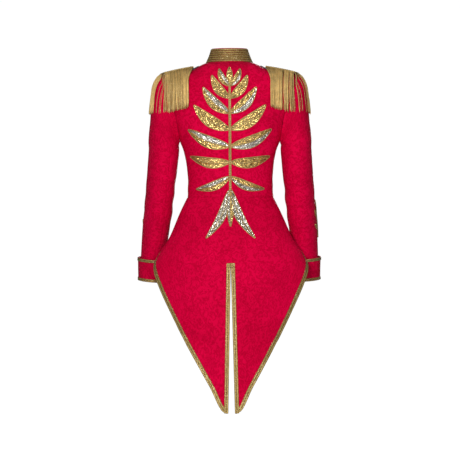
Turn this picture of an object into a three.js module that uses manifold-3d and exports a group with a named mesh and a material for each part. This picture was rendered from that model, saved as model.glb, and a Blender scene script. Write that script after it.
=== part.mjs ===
// A ringmaster's tailcoat on an invisible wearer: cropped princess bodice, flared swallow tails split by a
// centre vent, two-piece sleeves with turned-back cuffs, a stand collar covered in gold braid, fringed
// epaulettes and a raised sequin leaf spray down the back.
// Millimetres. +Z is up, -Y is the wearer's front, +X the wearer's left. The origin is the middle of the
// neck opening at the height where collar and shoulder seams meet, the level at which the coat hangs.
import * as THREE from 'three';
import Module from 'manifold-3d';
import { mergeVertices } from 'three/addons/utils/BufferGeometryUtils.js';

const wasm = await Module();
wasm.setup();

const V = (x, y, z) => new THREE.Vector3(x, y, z);
const { degToRad, clamp, lerp, smoothstep } = THREE.MathUtils;
const LEFT = 1;
const RIGHT = -1;

// ---------------------------------------------------------------- driving sizes
const CLOTH = 2.0;          // bonded brocade with its interlining
const SEAM = 0.3;           // daylight between sewn pieces
const SEWN = 0.4;           // daylight under braid, felt and raised work
const WAIST_Z = -387;       // waist seam
const UNDERARM = { y: -1, z: -223 };
const SHOULDER_X = 188;     // shoulder seam to sleeve head
const NECK = { half: 70, mid: -4, back: 62, front: 68 };
const LAP = { width: 12, lift: 2.8, ramp: 34 };   // right front over left front
const ARMHOLE = { back: 53, front: 55 };
const BRAID = { width: 11, thick: 1.3 };
const VENT = { top: -588, tipZ: -1019, tipHalfGap: 10 };

// Horizontal sections of the general figure that the bodice is cut for: half width, depth behind and before
// the side seam, and how square the section is.
const TORSO = [
  { z: -420, half: 131, back: 78, front: 101, square: 2.15 },
  { z: -387, half: 127, back: 72, front: 98, square: 2.15 },
  { z: -345, half: 125, back: 69, front: 97, square: 2.2 },
  { z: -299, half: 128, back: 76, front: 106, square: 2.3 },
  { z: -252, half: 136, back: 85, front: 122, square: 2.4 },
  { z: -223, half: 147, back: 90, front: 127, square: 2.4 },
  { z: -150, half: 178, back: 96, front: 118, square: 2.3 },
  { z: -80, half: 203, back: 95, front: 104, square: 2.3 },
  { z: 0, half: 222, back: 90, front: 96, square: 2.3 },
  { z: 80, half: 228, back: 88, front: 90, square: 2.3 },
];
// The shoulder line, neck to sleeve head, and how steeply the cloth falls behind and before it.
const SHOULDER = [
  { x: 0, ridge: 11, fallBack: 0.16, fallFront: 0.98 },
  { x: 56, ridge: 5, fallBack: 0.18, fallFront: 0.9 },
  { x: 80, ridge: -3, fallBack: 0.26, fallFront: 0.76 },
  { x: 98, ridge: -10, fallBack: 0.34, fallFront: 0.7 },
  { x: 136, ridge: -17, fallBack: 0.38, fallFront: 0.6 },
  { x: 176, ridge: -21, fallBack: 0.40, fallFront: 0.55 },
  { x: 226, ridge: -31, fallBack: 0.42, fallFront: 0.55 },
];
const SHOULDER_ROUND = 46;
const RIDGE_ROUND = 22;
const CENTRE_ROUND = 14;

// Sections of the flared tails below the waist seam.
const SKIRT = [
  { z: -387, half: 127, mid: 0, back: 72, front: 98, square: 2.15 },
  { z: -430, half: 148, mid: 3, back: 80, front: 107, square: 2.1 },
  { z: -500, half: 178, mid: 9, back: 89, front: 120, square: 2.05 },
  { z: -590, half: 227, mid: 17, back: 97, front: 138, square: 2.0 },
  { z: -700, half: 248, mid: 22, back: 102, front: 148, square: 2.0 },
  { z: -850, half: 256, mid: 24, back: 103, front: 150, square: 2.0 },
  { z: -1040, half: 254, mid: 22, back: 102, front: 150, square: 2.0 },
];
// Cut-away hem from the tail's tip to the front waist, as the angle round from centre back and the height.
const HEM = [
  { across: 0.00, angle: 2.2, z: -1019 },
  { across: 0.02, angle: 4.4, z: -1017 },
  { across: 0.14, angle: 14.6, z: -937 },
  { across: 0.26, angle: 26.9, z: -842 },
  { across: 0.38, angle: 41.5, z: -748 },
  { across: 0.50, angle: 60.5, z: -653 },
  { across: 0.57, angle: 74.5, z: -607 },
  { across: 0.64, angle: 92, z: -566 },
  { across: 0.74, angle: 115, z: -500 },
  { across: 0.87, angle: 146, z: -436 },
  { across: 1.00, angle: 169, z: -412 },
];
const TAIL_FRONT_ANGLE = 169;
// Soft flutes of the tails: where each one runs, how wide it is, how deep, and where it starts.
const FLUTES = [
  { angle: 21, spread: 14, depth: 4, from: -430, full: -640 },
  { angle: 48, spread: 15, depth: -4, from: -420, full: -640 },
  { angle: 78, spread: 17, depth: 3, from: -420, full: -640 },
];

// Sleeve head: rings fan about the underarm, each with its tilt above level and its reach.
const CAP = [
  { tilt: 79, reach: 203 },
  { tilt: 75, reach: 204 },
  { tilt: 71, reach: 197.5 },
  { tilt: 67, reach: 186 },
  { tilt: 61, reach: 161 },
  { tilt: 50, reach: 129 },
  { tilt: 35, reach: 105 },
  { tilt: 16, reach: 93 },
  { tilt: 0, reach: 89 },
];
// Arm of the sleeve: body side, outer side, front and back limits of each section.
const ARM = [
  { z: -236, inner: 150.5, outer: 239, front: -61, back: 57 },
  { z: -276, inner: 152.5, outer: 241.5, front: -61, back: 55 },
  { z: -347, inner: 161, outer: 247, front: -64, back: 48 },
  { z: -417, inner: 168, outer: 253, front: -76, back: 30 },
  { z: -488, inner: 178.5, outer: 260, front: -101, back: -4 },
  { z: -556, inner: 187, outer: 264, front: -117, back: -28 },
  { z: -628, inner: 195, outer: 267.5, front: -134, back: -53 },
];
const SWING = { [LEFT]: 0.011, [RIGHT]: -0.013 };  // each arm hangs a little differently
const SLEEVE_SEAM = { back: 118, front: -105 };   // angles round the arm from its outer side
const SEAM_TURN = 0.22;     // half a seam's daylight as an angle round the arm
const CUFF = { from: -566, to: -634, over: 7.5, flare: -4.0 };
const CUFF_TALL = CUFF.from - CUFF.to;
const WRIST_LEVEL = { from: 500, full: 560, share: 0.3 };  // where the sleeve's sections turn nearly level

const COLLAR = {
  thick: 2.5, topHalf: 53, topBack: 52, topFront: -60, topMid: -4, backZ: 51, frontZ: -24, level: 0.15,
  rows: 6, gap: 0.8,
};
const COLLAR_END = 178.4;   // degrees round from centre back

const EPAULETTE = {
  inner: 106, outer: 203, halfInner: 36, halfOuter: 44, round: 12, thick: 3.0, crown: 0.7, bow: 1.2,
};
const FELT = { inner: 91, outer: 158, half: 38, thick: 1.6, lift: 0.5 };
const FRINGE = { footInner: -122, footOuter: -138, radius: 1.15, strip: 2.0, stripTall: 4.4, clear: 4.0 };
// Strands along the epaulette's rim, which runs from its inner front corner round the arm end to the back.
const STRANDS = [
  { from: 0.03, to: 0.30, count: 12 },
  { from: 0.35, to: 0.41, count: 2 },
  { from: 0.44, to: 0.60, count: 11 },
  { from: 0.625, to: 0.66, count: 2 },
  { from: 0.68, to: 0.935, count: 16 },
];

// Leaf spray down the back: where each pair of leaves springs from the stem, its size, how far it leans
// above level, and how much it bends.
const SPRAY = [
  { z: -62, length: 58, width: 19, lean: 60, bend: 6 },
  { z: -98, length: 84, width: 26, lean: 53, bend: 8 },
  { z: -142, length: 108, width: 31, lean: 45, bend: 10 },
  { z: -190, length: 126, width: 34, lean: 35, bend: 11 },
  { z: -239, length: 130, width: 34, lean: 23, bend: 11 },
  { z: -285, length: 116, width: 30, lean: 9, bend: 10 },
  { z: -328, length: 104, width: 26, lean: -20, bend: 9 },
  { z: -366, length: 158, width: 25, lean: -64, bend: 12 },
];
const STEM = { top: -52, foot: -384, width: 8 };
const FINIALS = [
  { z: -54, length: 46, width: 17, lean: 90, bend: 0 },
  { z: -374, length: 100, width: 19, lean: -90, bend: 0 },
];
const RELIEF = { edge: 0.9, ridge: 1.7 };
// The smaller spray on each sleeve above the cuff.
const SLEEVE_SPRAY = [
  { z: -482, length: 36, width: 12, lean: 35, bend: 3 },
  { z: -448, length: 36, width: 12, lean: 44, bend: 3 },
];
const SLEEVE_STEM = { top: -430, foot: -512, width: 5, angle: { [LEFT]: -52, [RIGHT]: -9 } };
const SLEEVE_FINIAL = { z: -434, length: 34, width: 10, lean: 90, bend: 0 };

const BUTTON = { radius: 8.5, tall: 5.4, from: -78, to: -362, count: 6 };

// ---------------------------------------------------------------- colours
const finish = (color, roughness, metalness = 0) => new THREE.MeshStandardMaterial({
  color, roughness, metalness,
});
const RED = finish(0xb80230, 0.62);
const GOLD = finish(0xb08a3c, 0.42, 0.55);
const FRINGE_GOLD = finish(0xc09a4c, 0.45, 0.4);
const SEQUIN = finish(0xb9a06a, 0.25, 0.8);
const BLACK = finish(0x0b0b0c, 0.9);
const BRASS = finish(0xc79a3a, 0.25, 0.9);

// ---------------------------------------------------------------- tables and curves
// Reads a named column of a table at a given key, by a monotone-ish cubic through its rows.
function column(table, key, name, at) {
  const rising = table[table.length - 1][key] > table[0][key];
  const rows = rising ? table : [...table].reverse();
  const last = rows.length - 1;
  const x = clamp(at, rows[0][key], rows[last][key]);
  let i = 0;
  while (i < last - 1 && x > rows[i + 1][key]) i++;
  const [a, b] = [rows[i], rows[i + 1]];
  const span = b[key] - a[key];
  const slope = (p, q) => (q[name] - p[name]) / (q[key] - p[key]);
  const mid = slope(a, b);
  const tangent = (before, here, after) => {
    if (!before || !after) return mid;
    const [m, n] = [slope(before, here), slope(here, after)];
    return m * n <= 0 ? 0 : 2 * m * n / (m + n);
  };
  const m0 = tangent(rows[i - 1], a, b);
  const m1 = tangent(a, b, rows[i + 2]);
  const t = (x - a[key]) / span;
  const [t2, t3] = [t * t, t * t * t];
  return (2 * t3 - 3 * t2 + 1) * a[name] + (t3 - 2 * t2 + t) * span * m0
    + (3 * t2 - 2 * t3) * b[name] + (t3 - t2) * span * m1;
}

// A point of a superellipse section, turned `angle` degrees round from centre back.
function section(table, angle, z) {
  const s = Math.sin(degToRad(angle));
  const c = Math.cos(degToRad(angle));
  const power = 2 / column(table, 'z', 'square', z);
  const depth = column(table, 'z', c >= 0 ? 'back' : 'front', z);
  const mid = 'mid' in table[0] ? column(table, 'z', 'mid', z) : 0;
  return V(
    Math.sign(s) * column(table, 'z', 'half', z) * Math.abs(s) ** power,
    mid + Math.sign(c) * depth * Math.abs(c) ** power,
    z,
  );
}

// ---------------------------------------------------------------- the figure's surface
function smoothMax(a, b, round) {
  const h = Math.max(round - Math.abs(a - b), 0) / round;
  return Math.max(a, b) + h * h * round / 4;
}
const softPart = (y) => (y + Math.sqrt(y * y + RIDGE_ROUND ** 2)) / 2 - RIDGE_ROUND / 2;

// Signed distance, near enough, outside the bodice's outer face.
function figure(p) {
  const x = Math.abs(p.x);
  const half = column(TORSO, 'z', 'half', p.z);
  const depth = column(TORSO, 'z', p.y >= 0 ? 'back' : 'front', p.z);
  const square = column(TORSO, 'z', 'square', p.z);
  const ring = ((x / half) ** square + (Math.abs(p.y) / depth) ** square) ** (1 / square);
  const wall = Math.hypot(x, p.y) * (1 - 1 / Math.max(ring, 0.05));
  const level = Math.sqrt(x * x + CENTRE_ROUND ** 2) - CENTRE_ROUND;
  const top = column(SHOULDER, 'x', 'ridge', level)
    - column(SHOULDER, 'x', 'fallBack', level) * softPart(p.y)
    - column(SHOULDER, 'x', 'fallFront', level) * softPart(-p.y);
  return smoothMax(wall, (p.z - top) * 0.9, SHOULDER_ROUND);
}

function gradient(field, p) {
  const e = 0.4;
  const d = (x, y, z) => field(V(p.x + x, p.y + y, p.z + z)) - field(V(p.x - x, p.y - y, p.z - z));
  return V(d(e, 0, 0), d(0, e, 0), d(0, 0, e)).divideScalar(2 * e);
}

// Moves a point along the field's gradient until the field reads `level`.
function settle(p, level = 0, field = figure) {
  const q = p.clone();
  for (let i = 0; i < 12; i++) {
    const g = gradient(field, q);
    q.addScaledVector(g, (level - field(q)) / Math.max(g.lengthSq(), 1e-6));
  }
  return q;
}

// Where the ray from `from` along `way` leaves the figure.
function reach(from, way, far = 320) {
  let inside = 0;
  let outside = far;
  for (let i = 0; i < 40; i++) {
    const mid = (inside + outside) / 2;
    if (figure(from.clone().addScaledVector(way, mid)) < 0) inside = mid;
    else outside = mid;
  }
  return from.clone().addScaledVector(way, inside);
}
const normalAt = (p) => gradient(figure, p).normalize();

// ---------------------------------------------------------------- seam lines of the bodice
// Neckline, `angle` degrees round from centre back.
function neckline(angle) {
  const a = degToRad(angle);
  const depth = Math.cos(a) >= 0 ? NECK.back : NECK.front;
  return reach(V(NECK.half * Math.sin(a), NECK.mid + depth * Math.cos(a), -140), V(0, 0, 1));
}
const SHOULDER_TIP = reach(V(SHOULDER_X, UNDERARM.y, -140), V(0, 0, 1));
const shoulderSeam = (t) => reach(
  V(lerp(NECK.half, SHOULDER_X, t), lerp(NECK.mid, UNDERARM.y, t), -140), V(0, 0, 1));

// Armhole, `angle` degrees round from the shoulder tip by way of the back.
function armhole(angle) {
  const a = degToRad(angle);
  const middle = (SHOULDER_TIP.z + UNDERARM.z) / 2;
  const tall = (SHOULDER_TIP.z - UNDERARM.z) / 2;
  const wide = Math.sin(a) >= 0 ? ARMHOLE.back : ARMHOLE.front;
  return reach(V(20, UNDERARM.y + wide * Math.sin(a), middle + tall * Math.cos(a)), V(1, 0, 0));
}
const sideSeam = (t) => reach(V(0, UNDERARM.y, lerp(WAIST_Z, UNDERARM.z, t)), V(1, 0, 0));
const waistLine = (angle) => section(TORSO, angle, WAIST_Z);

// A smooth line over the figure through rough places, at even steps along its length.
function overFigure(places) {
  const curve = new THREE.CatmullRomCurve3(places, false, 'centripetal');
  return (t) => settle(curve.getPointAt(t));
}

// Joins two lines end to end, the first taking `share` of the range.
const joined = (first, second, share) => (t) => (
  t <= share ? first(t / share) : second((t - share) / (1 - share)));

// ---------------------------------------------------------------- building solids
function solidFrom(points, faces) {
  const flat = new Float32Array(points.length * 3);
  points.forEach((p, i) => p.toArray(flat, i * 3));
  const geometry = new THREE.BufferGeometry();
  geometry.setAttribute('position', new THREE.BufferAttribute(flat, 3));
  geometry.setIndex(faces.flat());
  return geometry;
}

// Closes two grids of points, face and lining, into a wall. Rows run up or down the piece; `ring` joins
// the last column back to the first.
function wall(face, lining, ring = false) {
  const rows = face.length;
  const cols = face[0].length;
  const points = [...face.flat(), ...lining.flat()];
  const at = (side, r, c) => side * rows * cols + r * cols + (c % cols);
  const faces = [];
  const quad = (a, b, c, d) => faces.push([a, b, c], [a, c, d]);
  const lastCol = ring ? cols : cols - 1;
  for (let r = 0; r < rows - 1; r++) {
    for (let c = 0; c < lastCol; c++) {
      quad(at(0, r, c), at(0, r, c + 1), at(0, r + 1, c + 1), at(0, r + 1, c));
      quad(at(1, r, c), at(1, r + 1, c), at(1, r + 1, c + 1), at(1, r, c + 1));
    }
  }
  for (let c = 0; c < lastCol; c++) {
    quad(at(0, 0, c), at(1, 0, c), at(1, 0, c + 1), at(0, 0, c + 1));
    quad(at(0, rows - 1, c), at(0, rows - 1, c + 1), at(1, rows - 1, c + 1), at(1, rows - 1, c));
  }
  if (!ring) {
    for (let r = 0; r < rows - 1; r++) {
      quad(at(0, r, 0), at(0, r + 1, 0), at(1, r + 1, 0), at(1, r, 0));
      quad(at(0, r, cols - 1), at(1, r, cols - 1), at(1, r + 1, cols - 1), at(0, r + 1, cols - 1));
    }
  }
  return solidFrom(points, faces);
}

// A rod through rings of points that all have the same count, closed at both ends.
function rod(rings, loop = false) {
  const n = rings[0].length;
  const count = rings.length;
  const faces = [];
  const at = (r, c) => (r % count) * n + (c % n);
  for (let r = 0; r < (loop ? count : count - 1); r++) {
    for (let c = 0; c < n; c++) {
      faces.push([at(r, c), at(r, c + 1), at(r + 1, c + 1)], [at(r, c), at(r + 1, c + 1), at(r + 1, c)]);
    }
  }
  if (!loop) {
    for (let c = 1; c < n - 1; c++) {
      faces.push([at(0, 0), at(0, c + 1), at(0, c)]);
      faces.push([at(count - 1, 0), at(count - 1, c), at(count - 1, c + 1)]);
    }
  }
  return solidFrom(rings.flat(), faces);
}

function toManifold(geometry) {
  const merged = mergeVertices(geometry, 1e-3);
  return new wasm.Manifold(new wasm.Mesh({
    numProp: 3,
    vertProperties: merged.attributes.position.array,
    triVerts: new Uint32Array(merged.index.array),
  }));
}
function fused(geometries) {
  const whole = geometries.map(toManifold).reduce((sum, next) => sum.add(next)).asOriginal().simplify(0.02);
  const mesh = whole.getMesh();
  const flat = new Float32Array(mesh.numVert * 3);
  for (let i = 0; i < mesh.numVert; i++) {
    flat.set(mesh.vertProperties.subarray(i * mesh.numProp, i * mesh.numProp + 3), i * 3);
  }
  const geometry = new THREE.BufferGeometry();
  geometry.setAttribute('position', new THREE.BufferAttribute(flat, 3));
  geometry.setIndex(new THREE.BufferAttribute(new Uint32Array(mesh.triVerts), 1));
  return geometry;
}
// Turns a solid's faces outward if they face in.
function outwardSolid(geometry) {
  if (toManifold(geometry).volume() > 0) return geometry;
  geometry.setIndex(Array.from(geometry.index.array).reverse());
  return geometry;
}

// Draws a grid's border in along the cloth by half a seam's daylight.
function trimEdges(grid, gaps, by = SEAM / 2) {
  const rows = grid.length;
  const cols = grid[0].length;
  const pull = (r, c, r2, c2) => {
    const step = grid[r2][c2].clone().sub(grid[r][c]);
    return step.setLength(Math.min(by, step.length() / 3));
  };
  const moves = grid.map((line) => line.map(() => V(0, 0, 0)));
  for (let r = 0; r < rows; r++) {
    if (gaps.includes('first')) moves[r][0].add(pull(r, 0, r, 1));
    if (gaps.includes('last')) moves[r][cols - 1].add(pull(r, cols - 1, r, cols - 2));
  }
  for (let c = 0; c < cols; c++) {
    if (gaps.includes('bottom')) moves[0][c].add(pull(0, c, 1, c));
    if (gaps.includes('top')) moves[rows - 1][c].add(pull(rows - 1, c, rows - 2, c));
  }
  return grid.map((line, r) => line.map((p, c) => p.clone().add(moves[r][c])));
}

const flipX = (p) => V(-p.x, p.y, p.z);
// Mirrors every row of a grid across the centre plane and keeps its faces outward.
const mirrored = (grid) => grid.map((line) => line.map(flipX).reverse());
const forSide = (side, grid) => (side === LEFT ? grid : mirrored(grid));

function gridNormal(grid, r, c, ring = false) {
  const rows = grid.length;
  const cols = grid[0].length;
  const wrap = (i) => (ring ? (i + cols) % cols : clamp(i, 0, cols - 1));
  const across = grid[r][wrap(c + 1)].clone().sub(grid[r][wrap(c - 1)]);
  const along = grid[Math.min(r + 1, rows - 1)][c].clone().sub(grid[Math.max(r - 1, 0)][c]);
  return across.cross(along).normalize();
}
const thicken = (grid, by, ring = false) => grid.map((line, r) => line.map(
  (p, c) => p.clone().addScaledVector(gridNormal(grid, r, c, ring), by)));

const thickenOnFigure = (grid, by) => grid.map((line) => line.map(
  (p) => p.clone().addScaledVector(normalAt(p), by)));

const root = new THREE.Group();
root.name = 'ringmaster_tailcoat';
function add(name, geometry, material) {
  const mesh = new THREE.Mesh(geometry, material);
  mesh.name = name;
  root.add(mesh);
}

// Outer facets of the cloth pieces by name, for the trimmings sewn on them.
const facets = {};
function addCloth(name, face, lining, material = RED, ring = false) {
  const list = [];
  for (let r = 0; r < face.length - 1; r++) {
    const count = face[r].length;
    for (let c = 0; c < (ring ? count : count - 1); c++) {
      const d = (c + 1) % count;
      list.push([face[r][c], face[r][d], face[r + 1][d]], [face[r][c], face[r + 1][d], face[r + 1][c]]);
    }
  }
  facets[name] = list;
  add(name, wall(face, lining, ring), material);
}
// Where a line along `normal` through a place near some cloth pieces meets their facets.
function facetUnder(names, place, normal) {
  const start = place.clone().addScaledVector(normal, 60);
  const ray = new THREE.Ray(start, normal.clone().negate());
  const hit = V(0, 0, 0);
  let best = null;
  let least = 14;
  for (const name of names) {
    for (const [a, b, c] of facets[name]) {
      if (!ray.intersectTriangle(a, b, c, false, hit)) continue;
      const off = hit.distanceTo(place);
      if (off < least) [least, best] = [off, hit.clone()];
    }
  }
  return best;
}
const mean = (...list) => list.reduce((sum, p) => sum.add(p), V(0, 0, 0)).divideScalar(list.length);
// The underside of something sewn on, from a grid of {p, normal}: laid just clear of the facets, and raised
// where a fold between two facets would touch it.
function underside(names, places, lift = SEWN) {
  const made = new Map();
  const lay = (place) => {
    if (!made.has(place)) {
      const base = facetUnder(names, place.p, place.normal) ?? place.p;
      made.set(place, { p: base.clone().addScaledVector(place.normal, lift), normal: place.normal });
    }
    return made.get(place);
  };
  const grid = places.map((line) => line.map(lay));
  for (let pass = 0; pass < 6; pass++) {
    for (let r = 0; r + 1 < grid.length; r++) {
      for (let c = 0; c + 1 < grid[r].length; c++) {
        const cell = [grid[r][c], grid[r][c + 1], grid[r + 1][c + 1], grid[r + 1][c]];
        const normal = mean(...cell.map((k) => k.normal)).normalize();
        const [a, b, d, e] = cell.map((k) => k.p);
        const spots = [mean(a, b), mean(b, d), mean(d, e), mean(e, a), mean(a, d), mean(b, e),
          mean(a, a, a, d), mean(a, d, d, d), mean(b, b, b, e), mean(b, e, e, e)];
        let lowest = lift;
        for (const spot of spots) {
          const base = facetUnder(names, spot, normal);
          if (base) lowest = Math.min(lowest, spot.sub(base).dot(normal));
        }
        const short = lift * 0.9 - lowest;
        if (short > 0) cell.forEach((k) => k.p.addScaledVector(normal, short));
      }
    }
  }
  return grid;
}
const above = (place, by) => place.p.clone().addScaledVector(place.normal, by);
// A flat strip over an underside two places wide.
const braidOver = (grid, thick, loop = false) => outwardSolid(rod(
  grid.map(([a, b]) => [a.p, b.p, above(b, thick), above(a, thick)]), loop));
function placeOn(side, p, normal) {
  return side === LEFT ? { p, normal } : { p: flipX(p), normal: flipX(normal) };
}

const steps = (count) => Array.from({ length: count + 1 }, (_, i) => i / count);

// ---------------------------------------------------------------- bodice
// A panel hung between its four edges, then laid on the figure. Edges run from `t` 0 to 1.
function panel(bottom, top, inner, outer, across, up) {
  const corner = [[bottom(0), bottom(1)], [top(0), top(1)]];
  const hung = up.map((v) => across.map((u) => {
    const p = V(0, 0, 0)
      .addScaledVector(bottom(u), 1 - v).addScaledVector(top(u), v)
      .addScaledVector(inner(v), 1 - u).addScaledVector(outer(v), u)
      .addScaledVector(corner[0][0], -(1 - u) * (1 - v)).addScaledVector(corner[0][1], -u * (1 - v))
      .addScaledVector(corner[1][0], -(1 - u) * v).addScaledVector(corner[1][1], -u * v);
    return settle(p);
  }));
  return eased(hung, 12);
}

// Evens out the inner points of a grid over the figure, as cloth does, and leaves its border alone.
function eased(grid, rounds) {
  let now = grid;
  for (let i = 0; i < rounds; i++) {
    const before = now;
    now = before.map((line, r) => line.map((p, c) => {
      if (r === 0 || c === 0 || r === before.length - 1 || c === line.length - 1) return p;
      const mean = V(0, 0, 0).add(before[r - 1][c]).add(before[r + 1][c]).add(line[c - 1]).add(line[c + 1]);
      return settle(mean.divideScalar(4));
    }));
  }
  return now;
}
const NECK_SHARE = 0.42;
const SIDE_SHARE = 0.42;
const ACROSS = [0, 0.1, 0.21, 0.32, 0.42, 0.53, 0.64, 0.75, 0.84, 0.92, 1];
const UP = [0, 0.09, 0.18, 0.27, 0.35, 0.42, 0.5, 0.58, 0.66, 0.74, 0.82, 0.89, 0.95, 1];

const centreBack = overFigure([waistLine(0), V(0, 69, -345), V(0, 85, -252), V(0, 96, -150),
  V(0, 88, -60), neckline(0)]);
const backGrid = panel(
  (t) => waistLine(90.5 * t),
  joined((t) => neckline(90 * t), shoulderSeam, NECK_SHARE),
  centreBack,
  joined(sideSeam, (t) => armhole(180 - 180 * t), SIDE_SHARE),
  ACROSS, UP,
);
const lapAngle = THREE.MathUtils.radToDeg(Math.asin(LAP.width / NECK.half));
const lapWaist = THREE.MathUtils.radToDeg(Math.asin((LAP.width / 127) ** (2.15 / 2)));
const centreFront = overFigure([waistLine(180 + lapWaist), V(-LAP.width, -97, -345),
  V(-LAP.width, -122, -252), V(-LAP.width, -118, -150), neckline(180 + lapAngle)]);
const frontGrid = panel(
  (t) => waistLine(180 + lapWaist - (89.5 + lapWaist) * t),
  joined((t) => neckline(180 + lapAngle - (90 + lapAngle) * t), shoulderSeam, NECK_SHARE),
  centreFront,
  joined(sideSeam, (t) => armhole(180 + 180 * t), SIDE_SHARE),
  ACROSS, UP,
);
// How far the right front stands off the figure to pass over the left.
function lapLift(x) {
  return LAP.lift * (1 - smoothstep(-Math.min(x, 0), LAP.width + 4, LAP.width + LAP.ramp));
}

function addBodice() {
  for (const [side, word] of [[LEFT, 'left'], [RIGHT, 'right']]) {
    // The back's columns run outwards from centre back, so they are turned round to face out.
    const trimmed = trimEdges(backGrid, ['first', 'last', 'bottom', 'top']);
    const back = forSide(side, trimmed.map((line) => [...line].reverse()));
    addCloth(`back_${word}`, back, thickenOnFigure(back, -CLOTH));
    let front = forSide(side, trimEdges(frontGrid, ['last', 'bottom', 'top']));
    if (side === RIGHT) {
      front = front.map((line) => line.map((p) => p.clone().addScaledVector(normalAt(p), lapLift(p.x))));
    }
    addCloth(`front_${word}`, front, thickenOnFigure(front, -CLOTH));
  }
}

// ---------------------------------------------------------------- tails
const hem = (u) => ({ angle: column(HEM, 'across', 'angle', u), z: column(HEM, 'across', 'z', u) });

// Outer face of the tails. Angles run from centre back round to the front.
function tailFace(angle, z) {
  const p = section(SKIRT, angle, z);
  const out = V(p.x / 2, p.y, 0).normalize();
  for (const f of FLUTES) {
    const near = Math.exp(-(((angle - f.angle) / f.spread) ** 2));
    p.addScaledVector(out, f.depth * near * smoothstep(-z, -f.from, -f.full));
  }
  return p;
}
function tailNormal(angle, z) {
  const round = tailFace(angle + 0.5, z).sub(tailFace(angle - 0.5, z));
  const down = tailFace(angle, z - 2).sub(tailFace(angle, z + 2));
  return round.cross(down).normalize();
}
// Angle at which the tails' face is `x` from the centre plane.
function tailAngle(x, z) {
  const share = clamp(x / column(SKIRT, 'z', 'half', z), 0, 1);
  return THREE.MathUtils.radToDeg(Math.asin(share ** (column(SKIRT, 'z', 'square', z) / 2)));
}
function ventHalfGap(z) {
  if (z > VENT.top) return 0;
  return lerp(0.6, VENT.tipHalfGap, (VENT.top - z) / (VENT.top - VENT.tipZ));
}

const TAIL_ACROSS = [
  0, 0.02, 0.08, 0.16, 0.25, 0.33, 0.4, 0.46, 0.51, 0.555, 0.6, 0.645, 0.7, 0.77, 0.85, 0.93, 1,
];
const TAIL_DOWN = [0, 0.07, 0.15, 0.24, 0.33, 0.42, 0.52, 0.62, 0.72, 0.82, 0.91, 1];
function tailGrid() {
  return TAIL_DOWN.map((v) => TAIL_ACROSS.map((u) => {
    const foot = hem(u);
    const z = lerp(WAIST_Z, foot.z, v);
    const edge = tailAngle(ventHalfGap(z), z);
    const straight = lerp(TAIL_FRONT_ANGLE * u, foot.angle, v);
    const toCentre = (edge - lerp(0, HEM[0].angle, v)) * (1 - u) ** 8;
    return tailFace(Math.max(straight + toCentre, edge), z);
  }));
}
function addTails() {
  const grid = trimEdges(tailGrid(), ['first', 'bottom']);
  for (const [side, word] of [[LEFT, 'left'], [RIGHT, 'right']]) {
    const face = forSide(side, grid);
    addCloth(`tail_${word}`, face, thicken(face, -CLOTH));
  }
}

// The back of the coat at a given distance from centre back and height.
function onBack(x, z) {
  if (z < WAIST_Z) {
    const angle = tailAngle(Math.abs(x), z);
    return placeOn(x < 0 ? RIGHT : LEFT, tailFace(angle, z), tailNormal(angle, z));
  }
  const p = reach(V(x, 0, z), V(0, 1, 0));
  return { p, normal: normalAt(p) };
}
const BACK_PIECES = ['back_left', 'back_right', 'tail_left', 'tail_right'];

// A flat braid sewn on the tails beside a path of (angle, z) places; `inward` is the way its width runs.
function tailBraid(path, inward, side, word) {
  const spread = (place, across) => {
    const e = 0.5;
    const here = tailFace(place.angle, place.z);
    const perAngle = tailFace(place.angle + e, place.z).sub(here).divideScalar(e);
    const perZ = tailFace(place.angle, place.z + e).sub(here).divideScalar(e);
    const [aa, az, zz] = [perAngle.dot(perAngle), perAngle.dot(perZ), perZ.dot(perZ)];
    const way = inward(place, perAngle, perZ).setLength(across);
    const [wa, wz] = [way.dot(perAngle), way.dot(perZ)];
    const det = aa * zz - az * az;
    const angle = place.angle + (wa * zz - wz * az) / det;
    const z = place.z + (wz * aa - wa * az) / det;
    return placeOn(side, tailFace(angle, z), tailNormal(angle, z));
  };
  const places = path.map((place) => [0.4, BRAID.width].map((across) => spread(place, across)));
  return braidOver(underside([`tail_${word}`], places, SEWN * 1.4), BRAID.thick);
}

function addTailBraids() {
  const stations = TAIL_ACROSS.slice(2).flatMap((u, i) => {
    const before = TAIL_ACROSS[i + 1];
    return [lerp(before, u, 1 / 2), u];
  });
  const hemPath = [0.062, ...stations.slice(1, -1), 0.992].map(hem);
  const hemInward = (place, perAngle, perZ) => {
    const u = hemPath.indexOf(place);
    const before = hemPath[Math.max(u - 1, 0)];
    const after = hemPath[Math.min(u + 1, hemPath.length - 1)];
    const along = tailFace(after.angle, after.z).sub(tailFace(before.angle, before.z));
    return perAngle.clone().cross(perZ).cross(along);
  };
  const ventZ = steps(13).map((t) => lerp(VENT.tipZ + 5, VENT.top - 4, t));
  const ventPath = ventZ.map((z) => ({ angle: tailAngle(ventHalfGap(z) + 0.2, z), z }));
  const ventInward = (place, perAngle) => perAngle.clone();
  for (const [side, word] of [[LEFT, 'left'], [RIGHT, 'right']]) {
    add(`hem_braid_${word}`, tailBraid(hemPath, hemInward, side, word), GOLD);
    add(`vent_braid_${word}`, tailBraid(ventPath, ventInward, side, word), GOLD);
  }
  // Bar tack of braid across the top of the vent.
  const bar = steps(6).map((t) => [-3.6, 8].map(
    (up) => onBack(lerp(-BRAID.width - 1, BRAID.width + 1, t), VENT.top + up)));
  add('vent_bar', braidOver(underside(BACK_PIECES, bar), BRAID.thick), GOLD);
}

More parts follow.
